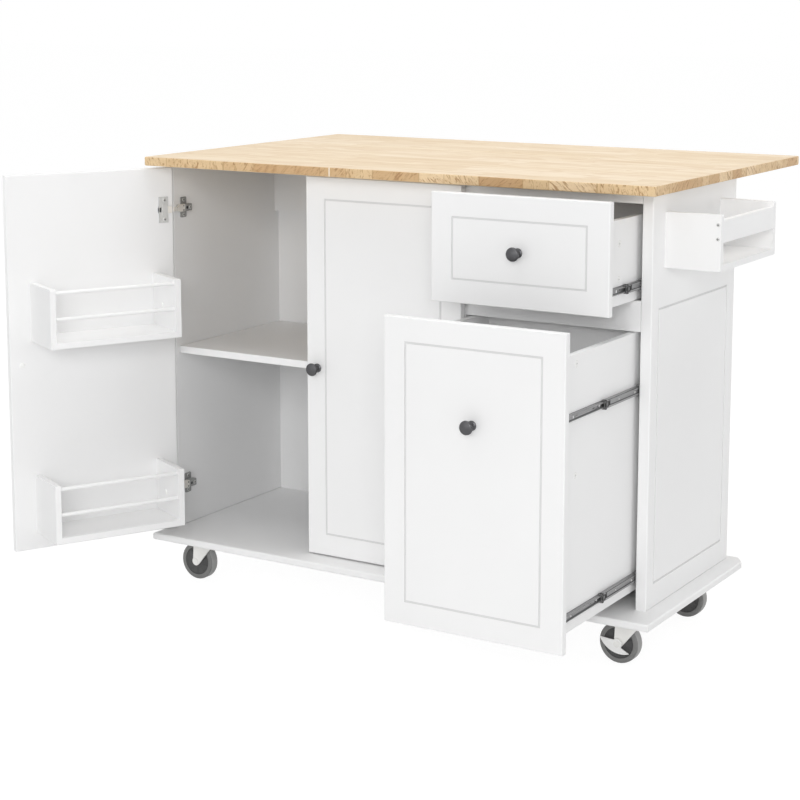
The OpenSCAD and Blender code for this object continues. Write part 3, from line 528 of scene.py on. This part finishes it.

# Marks on a web. Mesh; place along, up and off the web; length, height and corner radius; thickness; bevel
# The shade and edge marks are painted shade: darker strips along the races and edges and beside the slot
MIDDLE_MARKS = (
    ("stops", (10.5, 4.4, -0.1), (8, 2.4, 0.8), 0.4, 0.1),
    ("stops", (10.5, -4.4, -0.1), (8, 2.4, 0.8), 0.4, 0.1),
    ("stops", (18.5, 1.5, -1.2), (4.0, 9.5, 1.2), 1.5, 0.1),
    ("mid_shade", (180, -3.0, -0.55), (336, 1.5, 0.3), 0.6, 0.05),
    ("mid_shade", (180, 7.3, -0.1), (338, 0.9, 0.2), 0.35, 0.05),
    ("mid_shade", (322, 0, -1.45), (9.0, 2.6, 1.2), 0.25, 0.05),
)
RUNNER_MARKS = (
    ("runner_slots", (31.0, -0.6, 0), (6.5, 9.5, 2.8), 0.2, 0.05),
    ("runner_edge_shade", (36.2, 0.2, 0), (1.5, 10.0, 0.6), 0.22, 0.05),
    ("runner_shade", (44.5, 1.2, 0), (5.0, 4.5, 2.0), 0.18, 0.05),
    *(("runner_shade", (along, 0, 0), (8.0, 4.4, 2.0), 0.12, 0.03) for along in (110, 188, 262, 330)),
    ("runner_edge_shade", (175, -6.7, 0), (349, 1.5, 0.3), 0.25, 0.05),
    ("runner_shade", (175, 6.9, 0), (349, 0.8, 0.2), 0.2, 0.05),
)

# Round marks. Mesh; place; profile; segments
RIVET = [(0, 0), (1.5, 0), (1.5, 0.4), (1.0, 0.7), (0, 0.75)]
MIDDLE_ROUNDS = (
    *(("mid_rivets", (along, 0, -1.5), RIVET, 16) for along in (60, 150, 240, 300)),
    ("mid_rivets", (127.5, -0.5, -1.5), [(0, 0), (2.6, 0), (2.6, 0.5), (2.3, 0.7), (0, 0.7)], 20),
)
# A bright hole in the runner, with a dark ring of painted shade round it
RUNNER_ROUNDS = (
    ("runner_slots", (133.0, 0, 0), [(0, 0), (3.4, 0), (3.4, 0.3), (3.0, 0.45), (0, 0.45)], 20),
    ("runner_edge_shade", (131.6, -0.3, 0), disc(4.8, 0.2), 24),
)

# The ball cage in each race: where it starts, its size, and how its balls are spaced
CAGE_PLACE = (5.0, 8.6, 190)
CAGE_LENGTH, CAGE_WIDTH = 90, 2.6
BALLS, BALL_START, BALL_PITCH, BALL_FOOT = 10, 6, 8.6, -0.5
BALL = [(0, 0), (0.7, 0.1), (1.05, 0.5), (1.05, 0.8), (0.7, 1.2), (0, 1.3)]

# Look, body, slot and sharp angle of each of these meshes
SLIDE_LOOKS = (
    ("stops", "black_plastic", "slide_mid", "steel", 30),
    ("mid_shade", "race_shade", "slide_mid", "steel", SHARP_ANGLE),
    ("mid_rivets", "pale_steel", "slide_mid", "steel", SHARP_ANGLE),
    ("ball_cages", "slide_steel", "slide_mid", "steel", SHARP_ANGLE),
    ("runner_slots", "white_paint", "drawer", "white_paint", SHARP_ANGLE),
    ("runner_shade", "slide_shade", "drawer", "steel", SHARP_ANGLE),
    ("runner_edge_shade", "race_shade", "drawer", "steel", SHARP_ANGLE),
)


def slide_places(heights, y):
    """Front ends of the slide members at these heights, on both sides of the drawer."""
    for z in heights:
        for x, inward in BAY_FACES:
            yield Place(at(x, y, z), inward, Z, Y)


def slide_members(name, section, heights, y, body, node):
    """All members of one kind as one piece, in place of the plain ones of a CAD node."""
    bm = bmesh.new()
    for place in slide_places(heights, y):
        sweep(bm, place, section, SLIDE_LENGTH)
    ob = finish_mesh(name, bm, "slide_steel", body, angle=50)
    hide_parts(node)


def web_face(place, depth):
    """The face of a member's web. Places on it are given along it, up, and off it towards the board."""
    return Place(place.point(depth, 0, 0), place.n, place.v, -place.u)


def ball_cage(bm, place, up):
    """The cage in the upper race (up is 1) or the lower one (up is -1)."""
    a, b, c = CAGE_PLACE
    cage = Place(place.point(a, up * b, c), place.u, place.n, place.v * up)
    outline = rect(CAGE_WIDTH, CAGE_LENGTH, radius=0.4)
    plate(bm, cage.moved(0, CAGE_LENGTH / 2, 0), outline, height=0.25, bevel=0.05)
    for i in range(BALLS):
        lathe(bm, cage.moved(0, BALL_START + BALL_PITCH * i, BALL_FOOT), BALL, segments=10)


def slide_details(drawer):
    """What shows on the members: stops at the middle's front end, slots, rivets, painted shade and ball
    cages.
    """
    meshes = defaultdict(bmesh.new)
    for place in slide_places(drawer.slides, drawer.middle_y):
        skin(meshes["stops"], [[place.point(a, b, c) for a, b in STOP] for c in STOP_ENDS])
        lay_marks(meshes, web_face(place, MIDDLE_WEB), MIDDLE_MARKS, MIDDLE_ROUNDS)
        for up in (-1, 1):
            ball_cage(meshes["ball_cages"], place, up)
    for place in slide_places(drawer.slides, drawer.runner_y):
        lay_marks(meshes, web_face(place, RUNNER_WEB), RUNNER_MARKS, RUNNER_ROUNDS)
    for mesh, look, body, slot, angle in SLIDE_LOOKS:
        finish_mesh(f"{drawer.level}_slide_{mesh}", meshes[mesh], look, f"{drawer.level}_{body}", angle)


# Cam caps on the drawers' sides, with painted shade in their cross and ring recesses
CAM_CAP = [(0, 0), (7.5, 0), (7.5, 0.25), (7.1, 0.5), (6.2, 0.5), (6.0, 0.28), (5.6, 0.28), (5.4, 0.5),
           (0, 0.5)]
CAM_RING = [(5.45, 0), (5.95, 0), (5.95, 0.12), (5.45, 0.12), (5.45, 0)]
CAM_CROSS_FOOT, CAM_RING_FOOT = 0.45, 0.2


def cam_caps(drawer):
    caps, slots = bmesh.new(), bmesh.new()
    for z in drawer.caps:
        for x, inward in BAY_FACES:
            place = Place(at(x, drawer.caps_y, z) + inward * SLIDE_GAP / 1000, Y, Z, -inward)
            lathe(caps, place, CAM_CAP, segments=32)
            plate(slots, place.moved(0, 0, CAM_CROSS_FOOT), cross(6.6, 1.3), height=0.12, bevel=0.03)
            lathe(slots, place.moved(0, 0, CAM_RING_FOOT), CAM_RING, segments=32)
    finish_mesh(f"{drawer.body}_cam_caps", caps, "white_plastic", drawer.body)
    finish_mesh(f"{drawer.body}_cam_slots", slots, "slot_shade", drawer.body)


slide_members("slide_rails_formed", RAIL, [z for drawer in DRAWERS for z in drawer.slides], RAIL_Y,
              "cabinet", "slide_rails")
for drawer in DRAWERS:
    slide_members(f"{drawer.level}_middles_formed", MIDDLE, drawer.slides, drawer.middle_y,
                  drawer.middle_body, f"{drawer.level}_slide_middles")
for drawer in DRAWERS:
    slide_members(f"{drawer.level}_runners_formed", RUNNER, drawer.slides, drawer.runner_y,
                  drawer.body, f"{drawer.body}_runners")
for drawer in DRAWERS:
    slide_details(drawer)
for drawer in DRAWERS:
    cam_caps(drawer)


# ---------------------------------------------------------------- door hinges

HINGE_HEIGHTS = (203.5, 800.5)

# The doors' hinged edges and their inner faces when shut, and where the pivot lies inside a door
LEFT_EDGE_X, RIGHT_EDGE_X, DOOR_BACK_Y = -571.5, 150.5, 64.5
PIVOT_ALONG, PIVOT_INSIDE = 9.5, 12

# From each hinged edge to the face of the board that carries the hinge
LEFT_PANEL_FACE, PARTITION_FACE = 17, 15

# The left door stands open at rest. Along runs from its hinged edge, inner is the way its inner face looks
DOOR_TURN = math.radians(117.4)
DOOR_ALONG = Vector((math.cos(DOOR_TURN), -math.sin(DOOR_TURN), 0))
DOOR_INNER = Vector((math.sin(DOOR_TURN), math.cos(DOOR_TURN), 0))
LEFT_PIVOT = at(LEFT_EDGE_X + PIVOT_ALONG, DOOR_BACK_Y - PIVOT_INSIDE, 0)
DOOR_EDGE = LEFT_PIVOT - (DOOR_ALONG * PIVOT_ALONG - DOOR_INNER * PIVOT_INSIDE) / 1000


def door_point(along, inner, z):
    """A point of the open left door, from its hinged edge and its inner face."""
    return DOOR_EDGE + (DOOR_ALONG * along + DOOR_INNER * inner + Z * z) / 1000


# The stamped flange over a cup, slotted for the arm
FLANGE = [(8.6, 5.1), (8.6, 9.0), (10.2, 9.0), (10.2, 25.7), (9.2, 26.7), (-9.2, 26.7), (-10.2, 25.7),
          (-10.2, -25.7), (-9.2, -26.7), (9.2, -26.7), (10.2, -25.7), (10.2, -9.0), (8.6, -9.0), (8.6, -5.1),
          (5.0, -5.1), (5.0, 5.1)]
FLANGE_PIN = [(0, 0), (1.3, 0), (1.3, 0.25), (0.9, 0.35), (0, 0.35)]
FLANGE_SPOT = (21.9, 0, 1.5)

# The other parts of a cup's dress, into the door's width, up and off its inner face. The columns are those
# of the slides' marks.
CUP_MARKS = (
    ("flange_pads", (31.35, 0, 1.5), (1.5, 18.2, 0.4), 0.5, 0.1),
    ("flange_pads", (18.6, 0, 2.0), (13.0, 24.0, 3.0), 0.7, 0.4),
    ("knuckles", (7.6, 0, 0.4), (9.6, 14.4, 1.0), 2.7, 0.4),
)
CUP_ROUNDS = tuple(("flange_pads", (28.4, up, 2.0), FLANGE_PIN, 12) for up in (-20, 20))

# Places and heights of the screws, and the radius of their heads
CUP_SCREWS = (((19.8, -20, 1.95), 1.1), ((19.8, 20, 1.95), 1.1))
ARM_SCREWS = (((34, -15.5, 18.9), 1.1), ((34, 15.5, 18.9), 1.1), ((43, 0, 29.5), 1.0))
HINGE_SCREW = 3.9

# The plates on the cabinet. How far in the middle lies, size and corner radius, foot and top off the board
# (no foot where the plate stands on the board), and bevel: the cross plate, the arm's plate and the arm
ARM_PLATES = (
    (34, (20, 43, 2.5), None, 19.0, 0.3),
    (31, (37, 13.4, 1.0), None, 19.2, 0.3),
    (37.6, (24, 15.0, 1.4), 19.0, 29.6, 0.8),
)
# Holes in the arm, laid as dark discs of painted shade
ARM_ROUNDS = (
    ("arm_holes", (21.5, -4.4, 29.5), disc(1.5, 0.5), 16),
    ("arm_holes", (-1.0, -2.2, 29.9), disc(0.8, 0.2), 12),
    ("arm_holes", (21.5, 4.4, 29.5), disc(1.5, 0.5), 16),
    ("arm_holes", (-1.0, 2.2, 29.9), disc(0.8, 0.2), 12),
    ("arm_holes", (33, 0, 29.45), disc(3.2, 0.2), 20),
)

# The link from the arm to the cup. Depth, half height, and the two distances from the board
LINK = ((27, 7.4, 19.4, 29.0), (16, 7.4, 20.0, 29.9), (8, 6.6, 23.0, 30.1), (3.6, 4.6, 27.2, 30.1),
        (-10, 4.6, 27.2, 30.1), (-12.3, 4.3, 27.5, 29.8))
LINK_CORNER = 0.7


def finish_hinge(tag, meshes, looks, body):
    """Finish the pieces of one door's hinges; the cross plates stand in place of the CAD arms."""
    for piece, look in looks:
        ob = finish_mesh(f"{tag}_{piece}", meshes[piece], look, body)
        if piece == "cross_plates":
            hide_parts("hinge_arms")


def cup_dress(tag, places, body):
    """Flange, cross screws and bright knuckle; u runs into the door's width, v up, n off its inner face."""
    meshes = defaultdict(bmesh.new)
    for place in places:
        plate(meshes["flange_pads"], place.moved(*FLANGE_SPOT), FLANGE, height=0.5, bevel=0.2)
        lay_marks(meshes, place, CUP_MARKS, CUP_ROUNDS)
        for spot, height in CUP_SCREWS:
            screw(meshes["flange_screws"], meshes["flange_crosses"], place.moved(*spot), HINGE_SCREW, height)
    finish_hinge(tag, meshes, (("flange_pads", "pale_steel"), ("knuckles", "bright_nickel"),
                               ("flange_screws", "pale_steel"), ("flange_crosses", "recess_shade")), body)


def link_ring(place, depth, half, low, high):
    """One cross-section of the link, with cut corners."""
    k = LINK_CORNER
    side = [(half - k, low), (half, low + k), (half, high - k), (half - k, high)]
    return [place.point(depth, b, n) for b, n in side + [(-b, n) for b, n in reversed(side)]]


def arm_dress(tag, places, board_face):
    """Cross plate, grey arm over it and bright link; u runs into the cabinet, v up and n off the board."""
    meshes = defaultdict(bmesh.new)
    for place in places:
        for depth, size, foot, top, bevel in ARM_PLATES:
            foot = board_face if foot is None else foot
            plate(meshes["cross_plates"], place.moved(depth, 0, foot), rect(*size), top - foot, bevel)
        skin(meshes["links"], [link_ring(place, *row) for row in LINK])
        lay_marks(meshes, place, (), ARM_ROUNDS)
        for spot, height in ARM_SCREWS:
            screw(meshes["arm_screws"], meshes["arm_crosses"], place.moved(*spot), HINGE_SCREW, height)
    finish_hinge(tag, meshes, (("cross_plates", "grey_nickel"), ("links", "bright_nickel"),
                               ("arm_screws", "pale_steel"), ("arm_crosses", "recess_shade"),
                               ("arm_holes", "recess_shade")), "cabinet")


def hinge_places(x, u, n):
    return [Place(at(x, DOOR_BACK_Y, z), u, Z, n) for z in HINGE_HEIGHTS]


cup_dress("left_hinge", [Place(door_point(0, 0, z), DOOR_ALONG, Z, DOOR_INNER) for z in HINGE_HEIGHTS],
          "left_door")
cup_dress("right_hinge", hinge_places(RIGHT_EDGE_X, -X, Y), "right_door")
arm_dress("left_hinge", hinge_places(LEFT_EDGE_X, Y, X), LEFT_PANEL_FACE)
arm_dress("right_hinge", hinge_places(RIGHT_EDGE_X, Y, -X), PARTITION_FACE)


# ---------------------------------------------------------------- routed lines
# A thin strip of painted shade, a tone darker than the paint, on the floor of each groove

LINE_MARGIN, LINE_WIDTH, LINE_DEPTH = 43.0, 4.0, 2.0
STRIP_HEIGHT, STRIP_BEVEL = 0.35, 0.05
DOOR_WIDTH, DOOR_THICKNESS = 363.0, 16

# The frame of lines on the right side panel: its lower front corner, width and height
SIDE_FRAME_CORNER = (537.5, 97.5, 158)
SIDE_FRAME_WIDTH, SIDE_FRAME_HEIGHT = 331.5, 522.0


def line_shade(node, body, place, width, height, margin=LINE_MARGIN):
    """Strips of painted shade round a board's face; u runs across it, v up and n out of it, from a corner of
    the face.
    """
    bm = bmesh.new()
    wide, high = width - 2 * margin, height - 2 * (margin + LINE_WIDTH)
    for a, b, w, h in ((margin, margin, wide, LINE_WIDTH),
                       (margin, height - margin - LINE_WIDTH, wide, LINE_WIDTH),
                       (margin, margin + LINE_WIDTH, LINE_WIDTH, high),
                       (width - margin - LINE_WIDTH, margin + LINE_WIDTH, LINE_WIDTH, high)):
        a2, b2 = w / 2, h / 2
        plate(bm, place.moved(a + a2, b + b2, -LINE_DEPTH), [(a2, b2), (-a2, b2), (-a2, -b2), (a2, -b2)],
              STRIP_HEIGHT, STRIP_BEVEL)
    finish_mesh(f"{node}_line_shade", bm, "line_shade", body)


for node, body in (("door_right", "right_door"), ("upper_drawer_front", "upper_drawer"),
                   ("lower_drawer_front", "lower_drawer")):
    low, high = node_size(node)
    line_shade(node, body, Place(low, X, Z, -Y), (high.x - low.x) * 1000, (high.z - low.z) * 1000)
low, high = node_size("door_right")
line_shade("door_left", "left_door",
           Place(door_point(0, -DOOR_THICKNESS, low.z * 1000), DOOR_ALONG, Z, -DOOR_INNER),
           DOOR_WIDTH, (high.z - low.z) * 1000)
line_shade("side_panel", "cabinet", Place(at(*SIDE_FRAME_CORNER), Y, Z, X),
           SIDE_FRAME_WIDTH, SIDE_FRAME_HEIGHT, margin=0.0)


# ---------------------------------------------------------------- casters
# A wheel is a dark ribbed core, a tyre and a paler tread, each drawn as radius and distance from the middle

CORE = [(4.1, -12.0), (10.6, -12.0), (11.4, -11.4), (12.0, -10.4), (14.0, -9.2), (26.5, -8.6), (28.6, -9.4),
        (29.6, -11.0), (30.2, -11.3), (30.2, 11.3), (29.6, 11.0), (28.6, 9.4), (26.5, 8.6), (14.0, 9.2),
        (12.0, 10.4), (11.4, 11.4), (10.6, 12.0), (4.1, 12.0), (4.1, -12.0)]
TREAD = [(39.0, -9.6), (39.65, -8.9), (40.0, -6.8), (40.0, 6.8), (39.65, 8.9), (39.0, 9.6), (39.0, -9.6)]
TYRE = [(29.4, -10.6), (30.0, -11.2), (31.0, -11.5), (36.3, -11.4), (38.4, -10.6), (39.3, -9.4), (39.3, 9.4),
        (38.4, 10.6), (36.3, 11.4), (31.0, 11.5), (30.0, 11.2), (29.4, 10.6), (29.4, -10.6)]
WHEEL_RADIUS = 40

# Swivel axes, and how far the wheels trail to the left of them
CASTER_X, CASTER_FRONT, CASTER_BACK = 497, 86, 400
TRAIL = 17

# Ribs on the core: their count, how far out their middles lie, their outline, and half the web's thickness
RIBS, RIB_PLACE, RIB, WEB_HALF = 10, 20.2, (13.5, 1.6, 0.6), 8.6

# Plate screws, from the swivel axis, and the plate's thickness
CASTER_SCREW, CASTER_PLATE = 24, 2.5
CASTER_TOP = node_size("caster_plates")[1].z * 1000


def ribs(bm, hub):
    """Radial ribs on both faces of the core's web."""
    for side in (-1, 1):
        for i in range(RIBS):
            t = 2 * math.pi * (i + 0.5) / RIBS
            outward = X * math.cos(t) + Z * math.sin(t)
            spot = hub.point(RIB_PLACE * math.cos(t), RIB_PLACE * math.sin(t), side * WEB_HALF)
            rib = Place(spot, outward, Y.cross(outward), Y * side)
            plate(bm, rib, rect(*RIB), height=0.9, bevel=0.3)


def caster(tag, x, y):
    hub = Place(at(x - TRAIL, y, WHEEL_RADIUS), X, Z, Y)
    body = f"wheel_{tag}"
    core, tyre, tread = bmesh.new(), bmesh.new(), bmesh.new()
    lathe(core, hub, CORE, segments=72)
    ribs(core, hub)
    ob = finish_mesh(f"wheel_core_{tag}", core, "wheel_core", body)
    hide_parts("caster_wheel_" + tag)
    lathe(tyre, hub, TYRE, segments=96)
    finish_mesh(f"wheel_tyre_{tag}", tyre, "tyre", body, angle=40)
    lathe(tread, hub, TREAD, segments=96)
    finish_mesh(f"wheel_tread_{tag}", tread, "tread", body, angle=40)
    # screws under the plate
    places = [Place(at(x + dx, y + dy, CASTER_TOP - CASTER_PLATE), X, -Y, -Z)
              for dx in (-CASTER_SCREW, CASTER_SCREW) for dy in (-CASTER_SCREW, CASTER_SCREW)]
    screws(f"caster_screws_{tag}", f"caster_crosses_{tag}", places, radius=4.6, height=2.9,
           body="cabinet", look="zinc")


for tag, x, y in (("fl", -CASTER_X, CASTER_FRONT), ("fr", CASTER_X, CASTER_FRONT),
                  ("bl", -CASTER_X, CASTER_BACK), ("br", CASTER_X, CASTER_BACK)):
    caster(tag, x, y)


# ---------------------------------------------------------------- screws and nails
# Places read from the frame's boxes are in metres here

# Leaf hinges: three screws in each half, under the worktop and under the leaf
LEAF_HINGE_XS = (-475.5, 0.0, 436.5)
LEAF_SCREW_XS = (-22, 0, 22)
LEAF_SCREW_INSET = 0.009
HINGE_PLATE = 0.0015

fixed_low, _ = node_size("leaf_hinge_fixed")
_, moving_high = node_size("leaf_hinge_moving")
for half, body, y in (("fixed", "cabinet", fixed_low.y + LEAF_SCREW_INSET),
                      ("moving", "drop_leaf", moving_high.y - LEAF_SCREW_INSET)):
    places = [Place((at(x + dx, 0, 0).x, y, moving_high.z - HINGE_PLATE), X, -Y, -Z)
              for x in LEAF_HINGE_XS for dx in LEAF_SCREW_XS]
    screws(f"leaf_hinge_screws_{half}", f"leaf_hinge_crosses_{half}", places, radius=3.4, height=0.8,
           body=body)

# Wing hinges: the pin's x, the way from it to the screws, and the screws' distances along it
WING_PINS = (("right", 512.2, -1), ("left", -551.2, 1))
WING_PIN_Y = 455.5
WING_SCREWS = (15, 29)
WING_SCREW_INSET = 0.008
WING_PLATE_FACE = 1.6

for side, pin_x, way in WING_PINS:
    low, high = node_size(f"wing_hinge_{side}")
    places = []
    for reach in WING_SCREWS:
        for z in (low.z + WING_SCREW_INSET, high.z - WING_SCREW_INSET):
            spot = at(pin_x + way * reach, WING_PIN_Y + WING_PLATE_FACE, 0)
            places.append(Place((spot.x, spot.y, z), X, Z, -Y))
    screws(f"wing_hinge_screws_{side}", f"wing_hinge_crosses_{side}", places, radius=3.2, height=0.7,
           body=f"{side}_wing")

# Back panel: nails along its upper and lower edge, and up its sides and the partition
NAIL = [(0, 0), (1.6, 0), (1.6, 0.2), (1.2, 0.35), (0, 0.4)]
NAILS_ACROSS, NAILS_UP = 12, 8
NAIL_INSET, NAIL_START = 0.007, 0.03
PARTITION_MIDDLE = at(143.0, 0, 0).x


def between(start, end, share):
    return start + (end - start) * share


low, high = node_size("back_panel")
nail_spots = [(between(low.x + NAIL_START, high.x - NAIL_START, i / (NAILS_ACROSS - 1)), z)
              for i in range(NAILS_ACROSS) for z in (low.z + NAIL_INSET, high.z - NAIL_INSET)]
nail_spots += [(x, between(low.z, high.z, i / (NAILS_UP + 1)))
               for i in range(1, NAILS_UP + 1)
               for x in (low.x + NAIL_INSET, PARTITION_MIDDLE, high.x - NAIL_INSET)]
nails = bmesh.new()
for x, z in nail_spots:
    lathe(nails, Place((x, high.y, z), X, Z, Y), NAIL, segments=12)
finish_mesh("back_panel_nails", nails, "pale_steel", "cabinet")

# Side rack: cross heads a little proud of the countersunk ones in its two end boards
RACK_SCREW_X, RACK_SCREW_ZS = 640, (811.0, 837.0)
RACK_ENDS = ((120.4, -Y), (394.4, Y))
RACK_SCREW_PROUD = 1.0

screws("side_rack_screw_heads", "side_rack_screw_crosses",
       [Place(at(RACK_SCREW_X, y, z) + outward * RACK_SCREW_PROUD / 1000, X, Z, outward)
        for y, outward in RACK_ENDS for z in RACK_SCREW_ZS], radius=3.4, height=0.3, body="cabinet")


# ---------------------------------------------------------------- studio

WORLD_LIGHT = 0.48

# The floor's glow and colour as the camera sees it, and its colour in the light that it throws back
FLOOR_GLOW, FLOOR_SEEN, FLOOR_COLOUR = 0.92, 0.16, 0.86
FLOOR_SIZE = 30.0
UNDER_WHEELS = -0.0005

# Name, place and target in metres, width and height, watts
LAMPS = (
    ("key", (3.2, -6.6, 2.8), (0.0, 0.0, 0.5), (3.4, 2.4), 176),
    ("front", (-1.6, -6.4, 1.9), (0.0, 0.0, 0.4), (3.4, 2.4), 24),
    ("side", (7.0, -1.5, 1.8), (0.0, 0.0, 0.5), (2.6, 2.4), 38),
    ("top", (0.2, 0.0, 3.8), (0.0, 0.1, 0.9), (3.0, 2.4), 54),
    ("back_left", (-6.5, 1.2, 1.1), (0.0, 0.0, 0.4), (3.0, 1.4), 60),
    ("back", (1.2, 7.0, 1.1), (0.0, 0.0, 0.4), (3.4, 1.4), 80),
)

# The camera was fitted to the boards' corners in the photograph. Its shift stays small, because the views
# from other sides keep it; the rest of the picture's offset is in the downward tilt.
CAMERA_PLACE = at(1928.0, -3070.5, 1257.8)
CAMERA_DOWN, CAMERA_TURN = 8.719, 31.533
CAMERA_LENS, CAMERA_SENSOR, CAMERA_SHIFT = 85.735, 36.0, -0.15


def area_lamp(name, place, target, size, energy):
    lamp = bpy.data.lights.new(name, "AREA")
    lamp.shape = "RECTANGLE"
    lamp.size, lamp.size_y = size
    lamp.energy = energy
    ob = add_to_scene(name, lamp)
    ob.location = place
    ob.rotation_euler = (Vector(target) - ob.location).to_track_quat("-Z", "Y").to_euler()


def studio_world():
    """Soft light for the object, pure white for the camera."""
    g = Graph(bpy.data.worlds.new("studio"), "ShaderNodeOutputWorld")
    light = g.add("ShaderNodeBackground", {"Color": WHITE, "Strength": WORLD_LIGHT}).outputs[0]
    seen = g.add("ShaderNodeBackground", {"Color": WHITE, "Strength": 1.0}).outputs[0]
    return g.surface(g.add("ShaderNodeMixShader", {0: g.seen_rays(), 1: light, 2: seen}))


def floor_material():
    """Near white to the camera but for the object's shadow, and pale grey in the light it throws back."""
    g = material_graph("floor")
    seen = g.seen_rays()
    colour = g.mix(seen, grey(FLOOR_COLOUR), grey(FLOOR_SEEN))
    diffuse = g.add("ShaderNodeBsdfDiffuse", {"Color": colour}).outputs[0]
    glow = g.add("ShaderNodeEmission", {"Color": WHITE, "Strength": g.times(seen, FLOOR_GLOW)}).outputs[0]
    return g.surface(g.add("ShaderNodeAddShader", {0: diffuse, 1: glow}))


def floor_mesh():
    mesh = bpy.data.meshes.new("floor")
    bm = bmesh.new()
    bmesh.ops.create_grid(bm, x_segments=2, y_segments=2, size=FLOOR_SIZE)
    bm.to_mesh(mesh)
    bm.free()
    mesh.materials.append(floor_material())
    return mesh


for row in LAMPS:
    area_lamp(*row)
bpy.context.scene.world = studio_world()

floor = add_to_scene("floor", floor_mesh())
floor.location = (0, 0, UNDER_WHEELS)

lens = bpy.data.cameras.new("camera")
lens.sensor_fit = "HORIZONTAL"
lens.sensor_width = CAMERA_SENSOR
lens.lens = CAMERA_LENS
lens.shift_y = CAMERA_SHIFT
lens.clip_end = 100.0
camera = add_to_scene("camera", lens)
camera.location = CAMERA_PLACE
camera.rotation_euler = (math.radians(90 - CAMERA_DOWN), 0, math.radians(CAMERA_TURN))
bpy.context.scene.camera = camera
bpy.context.scene.view_settings.view_transform = "Standard"
